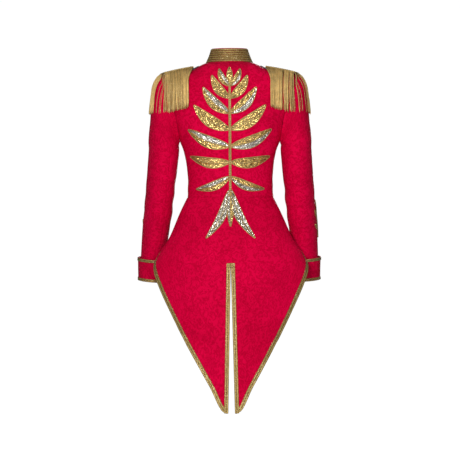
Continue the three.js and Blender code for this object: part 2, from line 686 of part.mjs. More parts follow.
// ---------------------------------------------------------------- sleeves
// Centre, reach and directions of the sleeve's section at row `t`, 0 at the armhole and 1 at the wrist.
const CAP_SHARE = 0.42;
const ARM_TOP = ARM[0];
function sleeveSection(t, side) {
  if (t < CAP_SHARE) {
    const share = t / CAP_SHARE;
    const row = share * (CAP.length - 1);
    const table = CAP.map((r, i) => ({ ...r, row: i }));
    const tilt = degToRad(column(table, 'row', 'tilt', row));
    const reachOut = column(table, 'row', 'reach', row);
    const hinge = V(lerp(148.6, ARM_TOP.inner, share), UNDERARM.y, lerp(UNDERARM.z, ARM_TOP.z, share));
    const out = V(Math.cos(tilt), 0, Math.sin(tilt));
    return {
      centre: hinge.addScaledVector(out, reachOut / 2),
      out,
      rear: V(0, 1, 0),
      wide: reachOut / 2,
      back: lerp(ARMHOLE.back + 1, ARM_TOP.back - UNDERARM.y, smoothstep(share, 0, 0.7)),
      front: lerp(ARMHOLE.front + 1, UNDERARM.y - ARM_TOP.front, smoothstep(share, 0, 0.7)),
    };
  }
  const z = lerp(ARM_TOP.z, ARM[ARM.length - 1].z, (t - CAP_SHARE) / (1 - CAP_SHARE));
  return armSection(z, side);
}
function armSection(z, side) {
  const read = (h) => {
    const swing = SWING[side] * (ARM_TOP.z - Math.max(h, CUFF.to)) * smoothstep(ARM_TOP.z - h, 0, 60);
    const inner = column(ARM, 'z', 'inner', h) + swing;
    const outer = column(ARM, 'z', 'outer', h) + swing;
    const front = column(ARM, 'z', 'front', h);
    const back = column(ARM, 'z', 'back', h);
    const centre = V((inner + outer) / 2, (front + back) / 2, h);
    return { centre, wide: (outer - inner) / 2, deep: (back - front) / 2 };
  };
  const here = read(z);
  const low = Math.max(z - 8, ARM[ARM.length - 1].z);
  const down = read(low).centre.sub(read(low + 16).centre).normalize();
  down.lerp(V(0, 0, -1), 1 - smoothstep(ARM_TOP.z - z, 0, 70));
  down.y *= lerp(1, WRIST_LEVEL.share, smoothstep(-z, WRIST_LEVEL.from, WRIST_LEVEL.full));
  down.normalize();
  const out = V(1, 0, 0).addScaledVector(down, -down.x).normalize();
  const rear = out.clone().cross(down).normalize();
  return { centre: here.centre, out, rear, wide: here.wide, back: here.deep, front: here.deep };
}

// Outer face of the sleeve, `angle` degrees round from its outer side by way of the back, grown by `over`.
function sleeveFace(angle, t, side, over = 0) {
  const a = degToRad(angle);
  const place = (s) => {
    const deep = Math.sin(a) >= 0 ? s.back : s.front;
    return s.centre.clone().addScaledVector(s.out, (s.wide + over) * Math.cos(a))
      .addScaledVector(s.rear, (deep + over) * Math.sin(a));
  };
  const p = place(sleeveSection(t, side));
  if (t < CAP_SHARE) {
    const seam = armhole((angle + 360) % 360).add(V(3 * SEAM, 0, 0));
    const off = seam.sub(place(sleeveSection(0, side)));
    p.addScaledVector(off, (1 - t / CAP_SHARE) ** 3);
  }
  return p;
}
// Face of the lower arm at a given height of its centre line.
function armFace(angle, z, side, over) {
  const a = degToRad(angle);
  const s = armSection(z, side);
  return s.centre.clone().addScaledVector(s.out, (s.wide + over) * Math.cos(a))
    .addScaledVector(s.rear, (s.back + over) * Math.sin(a));
}

const SLEEVE_ROWS = [0, 0.05, 0.105, 0.16, 0.215, 0.27, 0.32, 0.37, 0.42, 0.49, 0.58, 0.68, 0.78, 0.88, 1];
function sleeveNormal(angle, t, side) {
  const round = sleeveFace(angle + 2, t, side).sub(sleeveFace(angle - 2, t, side));
  const e = 0.012;
  const down = sleeveFace(angle, Math.min(t + e, 1), side).sub(sleeveFace(angle, Math.max(t - e, 0), side));
  return round.cross(down).normalize().negate();
}
// One of the sleeve's two pieces between its seams, as a grid of outer or lining points.
function sleevePiece(side, from, to, cols, depth) {
  const angles = steps(cols).map((c) => lerp(from + SEAM_TURN, to - SEAM_TURN, c));
  return [...SLEEVE_ROWS].reverse().map((t) => angles.map(
    (a) => sleeveFace(a, t, side).addScaledVector(sleeveNormal(a, t, side), -depth)));
}
function addSleeves() {
  for (const [side, word] of [[LEFT, 'left'], [RIGHT, 'right']]) {
    const { back, front } = SLEEVE_SEAM;
    const piece = (from, to, cols) => [0, CLOTH].map(
      (depth) => forSide(side, sleevePiece(side, from, to, cols, depth)));
    addCloth(`sleeve_top_${word}`, ...piece(front, back, 11));
    addCloth(`sleeve_under_${word}`, ...piece(back, front + 360, 7));
    const cuff = steps(3).map((v) => Array.from({ length: 18 }, (_, c) => armFace(
      c * 20, lerp(CUFF.to, CUFF.from, v), side, CUFF.over + CUFF.flare * (1 - v))));
    const cuffFace = forSide(side, cuff);
    addCloth(`cuff_${word}`, cuffFace, thicken(cuffFace, -CLOTH, true), RED, true);
    for (const [end, from] of [['top', CUFF.from - 1], ['hem', CUFF.to + BRAID.width - 1.6]]) {
      const edge = (angle, down) => {
        const over = CUFF.over + CUFF.flare * (CUFF.from - from) / CUFF_TALL;
        const p = armFace(angle, from - down, side, over);
        return placeOn(side, p, armFace(angle, from - down, side, 20).sub(p).normalize());
      };
      const rings = Array.from({ length: 18 }, (_, c) => (
        [0, BRAID.width - 2].map((down) => edge(c * 20, down))));
      const grid = underside([`cuff_${word}`], [...rings, rings[0]]);
      add(`cuff_braid_${end}_${word}`, braidOver(grid.slice(0, -1), BRAID.thick, true), GOLD);
    }
  }
}

// ---------------------------------------------------------------- collar
// Outer face of the stand, `angle` degrees round from centre back and `v` of the way up it.
function collarFace(angle, v) {
  const r = degToRad(angle);
  const foot = neckline(Math.abs(angle));
  const outward = normalAt(foot);
  if (angle < 0) [foot.x, outward.x] = [-foot.x, -outward.x];
  // The stand rides up over the lap of the fronts.
  const ride = foot.x > 0
    ? LAP.lift * (1 - smoothstep(foot.x, LAP.width + 1, LAP.width + 22))
    : lapLift(foot.x);
  foot.addScaledVector(outward, Math.cos(r) < 0 ? ride * 1.5 : 0);
  foot.z += COLLAR.gap;
  const depth = Math.cos(r) >= 0 ? COLLAR.topBack : -COLLAR.topFront;
  // The rim is level across the back and dips to the front.
  const rim = V(COLLAR.topHalf * Math.sin(r), COLLAR.topMid + depth * Math.cos(r),
    lerp(COLLAR.frontZ, COLLAR.backZ, smoothstep(Math.cos(r), -1, COLLAR.level)));
  const p = foot.clone().lerp(rim, v);
  const hollow = -1.4 * Math.sin(Math.PI * v);
  return p.add(V(p.x, p.y - COLLAR.topMid, 0).setLength(1).multiplyScalar(hollow));
}
function collarNormal(angle, v) {
  const round = collarFace(angle + 1, v).sub(collarFace(angle - 1, v));
  const up = collarFace(angle, Math.min(v + 0.05, 1)).sub(collarFace(angle, Math.max(v - 0.05, 0)));
  return up.cross(round).normalize();
}
function addCollar() {
  const angles = steps(22).map((t) => lerp(COLLAR_END, -COLLAR_END, t));
  const face = steps(3).map((v) => angles.map((a) => collarFace(a, v)));
  const lining = face.map((line) => line.map(
    (p) => p.clone().sub(V(p.x, p.y - COLLAR.topMid, 0).setLength(COLLAR.thick))));
  addCloth('collar', face, lining);
  for (let row = 0; row < COLLAR.rows; row++) {
    const low = (row + 0.06) / COLLAR.rows;
    const high = (row + 0.96) / COLLAR.rows;
    const places = angles.map((a) => [high, low].map(
      (v) => ({ p: collarFace(a, v), normal: collarNormal(a, v) })));
    add(`collar_braid_${row + 1}`, braidOver(underside(['collar'], places), BRAID.thick), GOLD);
  }
}

const sided = (side, rings) => (side === LEFT ? rings : rings.map((ring) => ring.map(flipX).reverse()));

// ---------------------------------------------------------------- epaulettes
const clothTop = (x, y) => reach(V(x, y, -140), V(0, 0, 1));
const BOARD_INNER_Z = clothTop(EPAULETTE.inner, 0).z + FELT.lift + FELT.thick + 1.0;
const BOARD_OUTER_Z = sleeveFace(0, 0.06, LEFT).z + 2.2;
function boardBottom(x) {
  const s = (x - EPAULETTE.inner) / (EPAULETTE.outer - EPAULETTE.inner);
  return lerp(BOARD_INNER_Z, BOARD_OUTER_Z, s) + EPAULETTE.bow * Math.sin(Math.PI * clamp(s, 0, 1));
}
// Plan position on the board: `a` from the neck end to the arm end, `b` from front to back.
function boardPlan(a, b) {
  const x = EPAULETTE.inner + (EPAULETTE.outer - EPAULETTE.inner - EPAULETTE.round * b * b) * a;
  return V(x, UNDERARM.y + b * lerp(EPAULETTE.halfInner, EPAULETTE.halfOuter, a), 0);
}
const raised = (p, by) => V(p.x, p.y, boardBottom(p.x) + by);

// Rim of the board from the inner front corner, round the arm end, to the inner back corner.
const RIM_CORNER = 0.335;
const RIM_STATIONS = [
  0, 0.11, 0.22, RIM_CORNER, 0.39, 0.445, 0.5, 0.555, 0.61, 1 - RIM_CORNER, 0.78, 0.89, 1,
];
function rim(s) {
  const corner = RIM_CORNER;
  if (s < corner) return boardPlan(s / corner, -1);
  if (s > 1 - corner) return boardPlan((1 - s) / corner, 1);
  return boardPlan(1, lerp(-1, 1, (s - corner) / (1 - 2 * corner)));
}
function rimOutward(s) {
  const e = 0.03;
  const along = rim(Math.min(s + e, 1)).sub(rim(Math.max(s - e, 0)));
  return V(along.y, -along.x, 0).normalize();
}

// Points spread over the sleeve head, to keep the fringe off it.
const headSamples = steps(26).flatMap((t) => steps(40).map((c) => {
  const angle = lerp(-130, 130, c);
  const row = 0.5 * t;
  return { at: sleeveFace(angle, row, LEFT), normal: sleeveNormal(angle, row, LEFT) };
}));
function clearance(p) {
  let best = headSamples[0];
  let nearest = Infinity;
  for (const sample of headSamples) {
    const d = sample.at.distanceToSquared(p);
    if (d < nearest) [nearest, best] = [d, sample];
  }
  const fromSleeve = nearest > 900 ? 30 : p.clone().sub(best.at).dot(best.normal);
  return Math.min(fromSleeve, figure(p));
}
// The way a strand falls from its root: straight down, and over whatever it would pass through.
function strandFall(s, foot) {
  const way = rimOutward(s);
  const path = [raised(rim(s).addScaledVector(way, SEAM + FRINGE.strip / 2), 1)];
  const step = 7;
  while (path[path.length - 1].z > foot && path.length < 30) {
    const from = path[path.length - 1];
    const q = from.clone().add(V(0, 0, -step));
    if (path.length === 1) q.addScaledVector(way, step * 0.5);
    for (let k = 0; k < 14; k++) {
      const short = FRINGE.clear - clearance(q);
      if (short <= 0) break;
      q.addScaledVector(way, Math.max(short, 0.15));
      q.sub(from).setLength(step).add(from);
    }
    path.push(q);
  }
  return path;
}
// Keeps the few points of a path that say most about its shape.
function thinned(path, count) {
  const kept = [0, path.length - 1];
  while (kept.length < count) {
    let worst = { off: -1, index: 1 };
    for (let k = 0; k + 1 < kept.length; k++) {
      const chord = new THREE.Line3(path[kept[k]], path[kept[k + 1]]);
      for (let i = kept[k] + 1; i < kept[k + 1]; i++) {
        const off = chord.closestPointToPoint(path[i], true, V(0, 0, 0)).distanceTo(path[i]);
        if (off > worst.off) worst = { off, index: i };
      }
    }
    kept.push(worst.index);
    kept.sort((a, b) => a - b);
  }
  return kept.map((i) => path[i]);
}
function strandSolid(path, way, radius) {
  const side = V(-way.y, way.x, 0);
  return rod(thinned(path, 5).map((at, i) => [90, 210, 330].map((a) => at.clone()
    .addScaledVector(way, (i ? 1 : 0.7) * radius * Math.sin(degToRad(a)))
    .addScaledVector(side, (i ? 1 : 0.7) * radius * Math.cos(degToRad(a))))));
}
// Small unevenness that repeats the same way every time.
const uneven = (i) => Math.sin(i * 12.9898) * 0.5 + Math.sin(i * 4.1414 + 1) * 0.5;

function fringeGeometry(side) {
  const strip = RIM_STATIONS.map((s) => {
    const mitre = s === RIM_CORNER || s === 1 - RIM_CORNER ? 1.4 : 1;
    const inner = rim(s).addScaledVector(rimOutward(s), SEAM * mitre);
    const outer = rim(s).addScaledVector(rimOutward(s), (SEAM + FRINGE.strip) * mitre);
    return [raised(inner, 0), raised(inner, FRINGE.stripTall), raised(outer, FRINGE.stripTall),
      raised(outer, 0)];
  });
  const pieces = [rod(sided(side, strip))];
  let index = 0;
  for (const group of STRANDS) {
    for (let i = 0; i < group.count; i++) {
      const s = lerp(group.from, group.to, (i + 0.5) / group.count);
      index += 1;
      const outwards = smoothstep(rim(s).x, EPAULETTE.inner, EPAULETTE.outer);
      const foot = lerp(FRINGE.footInner, FRINGE.footOuter, outwards);
      const path = strandFall(s, foot + 3 * uneven(index));
      const way = rimOutward(s);
      const solid = strandSolid(path, way, FRINGE.radius);
      if (side === RIGHT) {
        solid.scale(-1, 1, 1);
        solid.setIndex(Array.from(solid.index.array).reverse());
      }
      pieces.push(solid);
    }
  }
  return fused(pieces);
}
function addEpaulettes() {
  for (const [side, word] of [[LEFT, 'left'], [RIGHT, 'right']]) {
    const under = [`back_${word}`, `front_${word}`];
    const places = [1, 0.6, 0.24, -0.04, -0.32, -0.64, -1].map((b) => steps(6).map((a) => {
      const p = clothTop(lerp(FELT.outer, FELT.inner, a), FELT.half * b);
      return placeOn(side, p, normalAt(p));
    }));
    const felt = underside(under, places, FELT.lift);
    const [top, bottom] = [FELT.thick, 0].map((by) => felt.map((line) => line.map((k) => above(k, by))));
    add(`epaulette_felt_${word}`, outwardSolid(wall(top, bottom)), BLACK);
    const boardAt = (top) => steps(6).map((b) => steps(6).map((a) => {
      const across = lerp(1, -1, b);
      const thick = EPAULETTE.thick + EPAULETTE.crown * (1 - across ** 2);
      return raised(boardPlan(1 - a, across), top ? thick : 0);
    }));
    add(`epaulette_board_${word}`, wall(...[true, false].map((t) => forSide(side, boardAt(t)))), GOLD);
    add(`epaulette_fringe_${word}`, fringeGeometry(side), FRINGE_GOLD);
  }
}

// ---------------------------------------------------------------- raised sequin sprays
// Raised work over an underside three places wide, highest along its middle.
const reliefOver = (grid) => outwardSolid(rod(grid.map(([a, m, b]) => [a.p, above(a, RELIEF.edge),
  above(m, RELIEF.ridge), above(b, RELIEF.edge), b.p, m.p])));
// A leaf on the cloth pieces `names`. `place` gives the spot that lies (across, up) on them.
function leafSolid(leaf, baseX, mirror, names, place) {
  const count = Math.max(3, Math.round(leaf.length / 22));
  const lean = degToRad(leaf.lean);
  const along = [mirror * Math.cos(lean), Math.sin(lean)];
  const beside = [-along[1] * mirror, along[0] * mirror];
  return reliefOver(underside(names, steps(count).map((s) => {
    const sag = leaf.bend * Math.sin(Math.PI * s);
    const x = baseX + along[0] * leaf.length * s - beside[0] * sag;
    const z = leaf.z + along[1] * leaf.length * s - beside[1] * sag;
    const half = 0.8 + (leaf.width / 2 - 0.8) * Math.sin(Math.PI * s ** 0.85) ** 0.8;
    return [-half, 0, half].map((across) => place(x + beside[0] * across, z + beside[1] * across));
  }), SEWN * 1.4));
}
function stemSolid(stem, names, place) {
  const rows = Math.round((stem.top - stem.foot) / 26);
  return reliefOver(underside(names, steps(rows).map((t) => [-0.5, 0, 0.5].map(
    (share) => place(stem.width * share, lerp(stem.foot, stem.top, t)))), SEWN * 1.4));
}
const onSleeve = (side) => (x, z) => {
  const s = armSection(z, side);
  const angle = SLEEVE_STEM.angle[side] + THREE.MathUtils.radToDeg(x / ((s.wide + s.back) / 2));
  const p = armFace(angle, z, side, 0);
  return placeOn(side, p, armFace(angle, z, side, 1).sub(p).normalize());
};
function addSprays() {
  const back = [stemSolid(STEM, BACK_PIECES, onBack)];
  for (const leaf of SPRAY) {
    back.push(leafSolid(leaf, 2, 1, BACK_PIECES, onBack), leafSolid(leaf, -2, -1, BACK_PIECES, onBack));
  }
  for (const leaf of FINIALS) back.push(leafSolid(leaf, 0, 1, BACK_PIECES, onBack));
  add('spray_back', fused(back), SEQUIN);
  for (const [side, word] of [[LEFT, 'left'], [RIGHT, 'right']]) {
    const place = onSleeve(side);
    const names = [`sleeve_top_${word}`, `sleeve_under_${word}`];
    const pieces = [stemSolid(SLEEVE_STEM, names, place), leafSolid(SLEEVE_FINIAL, 0, 1, names, place)];
    for (const leaf of SLEEVE_SPRAY) {
      pieces.push(leafSolid(leaf, 1.2, 1, names, place), leafSolid(leaf, -1.2, -1, names, place));
    }
    add(`spray_sleeve_${word}`, fused(pieces), SEQUIN);
  }
}

// ---------------------------------------------------------------- buttons
function addButtons() {
  const { radius, tall, from, to, count } = BUTTON;
  const profile = [[0, 0], [radius * 0.9, 0], [radius, tall * 0.35], [radius * 0.66, tall * 0.82],
    [0, tall]].map(([x, y]) => new THREE.Vector2(x, y));
  for (let i = 0; i < count; i++) {
    const p = reach(V(0, 0, lerp(from, to, i / (count - 1))), V(0, -1, 0));
    const normal = normalAt(p);
    const dome = new THREE.LatheGeometry(profile, 10);
    dome.deleteAttribute('normal');
    dome.deleteAttribute('uv');
    const turn = new THREE.Quaternion().setFromUnitVectors(V(0, 1, 0), normal);
    dome.applyQuaternion(turn);
    const seat = (facetUnder(['front_right'], p, normal) ?? p).addScaledVector(normal, SEWN);
    dome.translate(seat.x, seat.y, seat.z);
    add(`button_${i + 1}`, mergeVertices(dome, 1e-3), BRASS);
  }
}

addBodice();
addTails();
addTailBraids();
addSleeves();
addCollar();
addEpaulettes();
addSprays();
addButtons();

export default root;
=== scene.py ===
"""Looks of a ringmaster's tailcoat on an invisible wearer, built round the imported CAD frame.

Blender works in metres; the helpers below work in millimetres, in the row frame: +Z up, -Y the wearer's
front, +X the wearer's left, origin in the middle of the neck opening.
"""

import math

import bpy
import numpy as np
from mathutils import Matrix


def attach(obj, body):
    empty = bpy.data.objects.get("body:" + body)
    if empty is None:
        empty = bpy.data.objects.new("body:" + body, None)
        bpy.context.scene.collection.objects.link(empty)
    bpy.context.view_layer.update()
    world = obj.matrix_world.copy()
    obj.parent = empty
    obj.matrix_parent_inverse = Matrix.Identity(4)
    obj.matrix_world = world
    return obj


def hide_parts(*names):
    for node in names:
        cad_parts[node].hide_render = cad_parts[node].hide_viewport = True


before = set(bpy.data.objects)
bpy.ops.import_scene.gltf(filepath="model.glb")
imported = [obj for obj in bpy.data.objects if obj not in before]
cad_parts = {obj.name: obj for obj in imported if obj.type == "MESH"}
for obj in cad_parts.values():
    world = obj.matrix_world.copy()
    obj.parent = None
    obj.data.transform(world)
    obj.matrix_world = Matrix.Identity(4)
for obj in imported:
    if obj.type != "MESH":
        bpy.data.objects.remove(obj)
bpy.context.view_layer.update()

MM = 0.001
LEFT, RIGHT = 1, -1
SIDES = ((LEFT, "left"), (RIGHT, "right"))
rng = np.random.default_rng(7)
CAMERA_PLACE, CAMERA_ROLL, VIEW_HALF = (0.0015, 10.0, -0.4835), 0.35, 0.6785
FLOOR_Z, FLOOR_RADIUS, FLOOR_SIDES = -1.42, 30, 64


# ---------------------------------------------------------------- camera, light and room
def stage_scene():
    scene = bpy.context.scene
    scene.view_settings.view_transform = "Standard"
    camera = bpy.data.objects.new("camera", bpy.data.cameras.new("camera"))
    scene.collection.objects.link(camera)
    camera.location = CAMERA_PLACE
    camera.rotation_euler = (math.radians(90), math.radians(CAMERA_ROLL), math.radians(180))
    camera.data.sensor_width = 36
    camera.data.angle = 2 * math.atan(VIEW_HALF / CAMERA_PLACE[1])
    camera.data.clip_end = 60
    scene.camera = camera

    world = bpy.data.worlds.new("studio")
    scene.world = world
    world.use_nodes = True
    tree = world.node_tree
    seen, lit = tree.nodes["Background"], tree.nodes.new("ShaderNodeBackground")
    seen.inputs["Color"].default_value = (1, 1, 1, 1)
    seen.inputs["Strength"].default_value = 1.02
    lit.inputs["Color"].default_value = (1, 1, 1, 1)
    lit.inputs["Strength"].default_value = 0.20
    # The backdrop is seen white, and lights the coat less than that.
    mix, path = tree.nodes.new("ShaderNodeMixShader"), tree.nodes.new("ShaderNodeLightPath")
    tree.links.new(path.outputs["Is Camera Ray"], mix.inputs[0])
    tree.links.new(lit.outputs[0], mix.inputs[1])
    tree.links.new(seen.outputs[0], mix.inputs[2])
    tree.links.new(mix.outputs[0], tree.nodes["World Output"].inputs["Surface"])

    # Name, place, aim, width, height, watts.
    for name, place, aim, width, height, power in (
        ("key", (0.5, 3.3, 0.1), (0, 0, -0.62), 0.8, 0.8, 76),
        ("fill", (-0.8, 3.8, -1.0), (0, 0, -0.7), 0.9, 0.9, 34),
        ("top", (0, 0.5, 2.4), (0, 0, -0.3), 1.6, 1.2, 8),
        ("front", (-0.5, -3.4, 0.5), (0, 0, -0.5), 1.6, 1.6, 66),
    ):
        light = bpy.data.lights.new(name, "AREA")
        light.shape, light.size, light.size_y, light.energy = "RECTANGLE", width, height, power
        lamp = bpy.data.objects.new(name, light)
        lamp.visible_camera = False
        scene.collection.objects.link(lamp)
        away = np.array(place) - np.array(aim)
        lamp.location = place
        lamp.rotation_euler = (
            math.atan2(math.hypot(away[0], away[1]), away[2]), 0, math.atan2(away[1], away[0]) + math.pi / 2)

    floor_mesh = bpy.data.meshes.new("floor")
    turns = np.linspace(0, 2 * math.pi, FLOOR_SIDES + 1)[:-1]
    ring = [(FLOOR_RADIUS * math.cos(a), FLOOR_RADIUS * math.sin(a), FLOOR_Z) for a in turns]
    floor_mesh.from_pydata(ring, [], [list(range(FLOOR_SIDES))])
    floor = bpy.data.objects.new("floor", floor_mesh)
    scene.collection.objects.link(floor)
    floor.data.materials.append(floor_material())
    floor.visible_diffuse = floor.visible_glossy = False


# ---------------------------------------------------------------- materials
class Look:
    """A node material: `add` makes a node, sets its properties and joins or sets its inputs."""

    def __init__(self, name):
        self.material = bpy.data.materials.new(name)
        self.material.use_nodes = True
        self.tree = self.material.node_tree
        self.shader = self.tree.nodes["Principled BSDF"]

    def put(self, socket, value):
        if isinstance(value, bpy.types.NodeSocket):
            self.tree.links.new(value, socket)
        else:
            socket.default_value = value

    def add(self, kind, inputs=(), out=0, **properties):
        node = self.tree.nodes.new("ShaderNode" + kind)
        for key, value in properties.items():
            setattr(node, key, value)
        for key, value in dict(inputs).items():
            self.put(node.inputs[key], value)
        return node.outputs[out]

    def set(self, **inputs):
        for key, value in inputs.items():
            self.put(self.shader.inputs[key.replace("_", " ")], value)

    def attribute(self, name, out="Vector"):
        return self.add("Attribute", attribute_name=name, attribute_type="GEOMETRY", out=out)

    def place(self):
        return self.add("TexCoord", out="Object")

    def noise(self, vector, scale, detail=2.0, distortion=0.0, roughness=0.5, out=0):
        return self.add("TexNoise", {"Vector": vector, "Scale": scale, "Detail": detail,
                                     "Distortion": distortion, "Roughness": roughness}, out=out)

    def wave(self, vector, scale, direction="X", distortion=0.0):
        return self.add("TexWave", {"Vector": vector, "Scale": scale, "Distortion": distortion},
                        out="Fac", bands_direction=direction)

    def ramp(self, value, low, high, start=0.0, end=1.0):
        return self.add("MapRange", {"Value": value, "From Min": low, "From Max": high,
                                     "To Min": start, "To Max": end}, interpolation_type="SMOOTHSTEP")

    def math(self, operation, a, b=0.0):
        return self.add("Math", {0: a, 1: b}, operation=operation)

    def mix(self, factor, a, b):
        node = self.tree.nodes.new("ShaderNodeMix")
        node.data_type = "RGBA"
        self.put(node.inputs[0], factor)
        self.put(node.inputs[6], a)
        self.put(node.inputs[7], b)
        return node.outputs[2]

    def bump(self, height, strength, distance, normal=None):
        inputs = {"Height": height, "Strength": strength, "Distance": distance}
        if normal is not None:
            inputs["Normal"] = normal
        return self.add("Bump", inputs)


def floor_material():
    look = Look("pale_floor")
    speckle = look.noise(look.place(), 3.0)
    look.set(Base_Color=look.mix(speckle, (0.90, 0.90, 0.90, 1), (0.94, 0.94, 0.94, 1)), Roughness=0.85,
             Specular_IOR_Level=0.1, Emission_Color=(1, 1, 1, 1), Emission_Strength=0.9)
    return look.material


def weave_of(look, along, per_metre):
    """Plain weave as a height: warp and weft threads in turn."""
    warp = look.wave(along, per_metre / 2, "X")
    weft = look.wave(along, per_metre / 2, "Y")
    return look.math("MAXIMUM", warp, weft)


def brocade():
    """Crimson jacquard: matt ground, slightly brighter satin scrolls, fine threads."""
    look = Look("crimson_brocade")
    along = look.attribute("along")
    scroll = look.ramp(look.noise(along, 42, 3.0, 2.6, 0.55), 0.49, 0.545)
    sprig = look.ramp(look.noise(along, 150, 2.0, 1.6, 0.5), 0.50, 0.60)
    figure = look.math("MAXIMUM", look.math("MULTIPLY", scroll, 0.8), look.math("MULTIPLY", sprig, 0.75))
    cloudy = look.ramp(look.noise(look.place(), 7.0, 3.0), 0.3, 0.7)
    slub = look.noise(along, 700, 2.0)
    ground = look.mix(cloudy, (0.43, 0.0004, 0.024, 1), (0.53, 0.0006, 0.031, 1))
    satin = look.mix(cloudy, (0.66, 0.0008, 0.043, 1), (0.80, 0.0012, 0.060, 1))
    colour = look.mix(look.math("MULTIPLY", figure, 0.85), ground, satin)
    colour = look.mix(look.ramp(slub, 0.3, 0.75, 0.0, 0.16), colour, (0.36, 0.0008, 0.022, 1))
    weave = weave_of(look, along, 1250)
    fine = look.bump(weave, 0.35, 0.00025)
    thread = look.bump(slub, 0.4, 0.0003, fine)
    relief = look.bump(figure, 0.5, 0.0005, thread)
    look.set(Base_Color=colour, Roughness=look.ramp(figure, 0, 1, 0.66, 0.46), Normal=relief,
             Sheen_Weight=0.02, Sheen_Roughness=0.4, Sheen_Tint=(1.0, 0.02, 0.10, 1),
             Specular_IOR_Level=0.06, Specular_Tint=(1.0, 0.1, 0.2, 1))
    return look.material


def satin_lining():
    look = Look("red_satin_lining")
    along = look.attribute("along")
    twill = look.wave(look.add("Mapping", {"Vector": along, "Rotation": (0, 0, 0.8)}), 520, "X")
    shade = look.noise(look.place(), 9.0, 3.0)
    look.set(Base_Color=look.mix(shade, (0.30, 0.0012, 0.018, 1), (0.40, 0.003, 0.028, 1)),
             Roughness=look.ramp(shade, 0.3, 0.7, 0.30, 0.40), Normal=look.bump(twill, 0.25, 0.0002),
             Anisotropic=0.35)
    return look.material


def gold_thread(name, groove_shade, light, roughness, metallic, per_metre=900):
    """Metallic yarn, with painted shade in the grooves of the `relief` attribute, a painted highlight on its
    crowns and painted glints in small specks.
    """
    look = Look(name)
    relief = look.attribute("relief", "Fac")
    along = look.attribute("along")
    strand = look.wave(look.add("Mapping", {"Vector": along, "Rotation": (0, 0, 0.6)}), per_metre, "X")
    worn = look.noise(look.place(), 60.0, 4.0)
    glint = look.noise(look.place(), 420.0, 2.0)
    # Painted light: the relief's crowns are lightened as a highlight and its grooves darkened as shade.
    crown_highlight = look.math("MULTIPLY", relief, look.ramp(strand, 0, 1, 0.72, 1.0))
    bright = look.mix(look.ramp(worn, 0.35, 0.7), light, tuple(c * 0.78 for c in light[:3]) + (1,))
    colour = look.mix(look.ramp(crown_highlight, 0.05, 0.95), groove_shade, bright)
    # Small specks painted light gold as glints.
    colour = look.mix(look.ramp(glint, 0.56, 0.68, 0.0, 0.55), colour, (0.95, 0.78, 0.42, 1))
    look.set(Base_Color=colour, Metallic=metallic,
             Roughness=look.ramp(glint, 0.3, 0.7, roughness + 0.1, roughness - 0.06),
             Normal=look.bump(strand, 0.45, 0.0003))
    return look.material


def sequin_foil(name, low, high):
    look = Look(name)
    tint = look.attribute("relief", "Fac")
    scratch = look.noise(look.place(), 500.0, 3.0)
    look.set(Base_Color=look.mix(tint, low, high), Metallic=0.95,
             Roughness=look.ramp(scratch, 0.3, 0.7, 0.16, 0.30), Coat_Weight=0.3, Coat_Roughness=0.12,
             Normal=look.bump(scratch, 0.12, 0.0002))
    return look.material


def black_felt():
    look = Look("black_felt")
    fibre = look.noise(look.place(), 900.0, 4.0, 1.0)
    tuft = look.noise(look.place(), 160.0, 3.0)
    look.set(Base_Color=look.mix(tuft, (0.006, 0.006, 0.008, 1), (0.022, 0.021, 0.024, 1)),
             Roughness=0.95, Normal=look.bump(fibre, 0.7, 0.0008), Sheen_Weight=0.25)
    return look.material


def brass():
    look = Look("button_brass")
    wear = look.noise(look.place(), 180.0, 4.0)
    look.set(Base_Color=look.mix(wear, (0.70, 0.45, 0.14, 1), (0.90, 0.66, 0.27, 1)), Metallic=1.0,
             Roughness=look.ramp(wear, 0.3, 0.7, 0.34, 0.18), Normal=look.bump(wear, 0.08, 0.0004))
    return look.material


CLOTH_LOOK = brocade()
LINING_LOOK = satin_lining()
# In each gold look the first colour is painted shade for the grooves, the second the yarn's colour, lightened
# on the crowns as a painted highlight.
BRAID_LOOK = gold_thread("gold_braid", (0.10, 0.055, 0.008, 1), (0.66, 0.45, 0.125, 1), 0.44, 0.50)
CORD_LOOK = gold_thread("gold_cord", (0.16, 0.09, 0.016, 1), (0.86, 0.62, 0.22, 1), 0.40, 0.50)
FRINGE_LOOK = gold_thread("gold_fringe", (0.18, 0.10, 0.018, 1), (0.92, 0.62, 0.215, 1), 0.48, 0.35)
LAME_LOOK = gold_thread("gold_lame", (0.16, 0.085, 0.02, 1), (0.50, 0.33, 0.10, 1), 0.38, 0.75)
GOLD_FOIL = sequin_foil("gold_sequins", (0.30, 0.155, 0.025, 1), (0.95, 0.70, 0.26, 1))
SILVER_FOIL = sequin_foil("silver_sequins", (0.22, 0.20, 0.17, 1), (0.86, 0.83, 0.75, 1))
FELT_LOOK = black_felt()
BRASS_LOOK = brass()


# ---------------------------------------------------------------- numbers
def xyz(x, y, z):
    return np.stack(np.broadcast_arrays(np.asarray(x, float), y, z), -1)


def lerp(a, b, t):
    return a + (b - a) * t


def smoothstep(x, low, high):
    t = np.clip((x - low) / (high - low), 0, 1)
    return t * t * (3 - 2 * t)


def unit(v):
    return v / np.maximum(np.linalg.norm(v, axis=-1, keepdims=True), 1e-9)


def flip_x(p):
    return p * np.array([-1.0, 1, 1])


def on_side(side, p):
    return p if side == LEFT else flip_x(p)


def bell(x, middle, spread):
    return np.exp(-(((x - middle) / spread) ** 2))


def table(names, *rows):
    data = np.array(sorted(rows), float)
    made = {name: data[:, i] for i, name in enumerate(names.split())}
    made["key"] = data[:, 0]
    return made


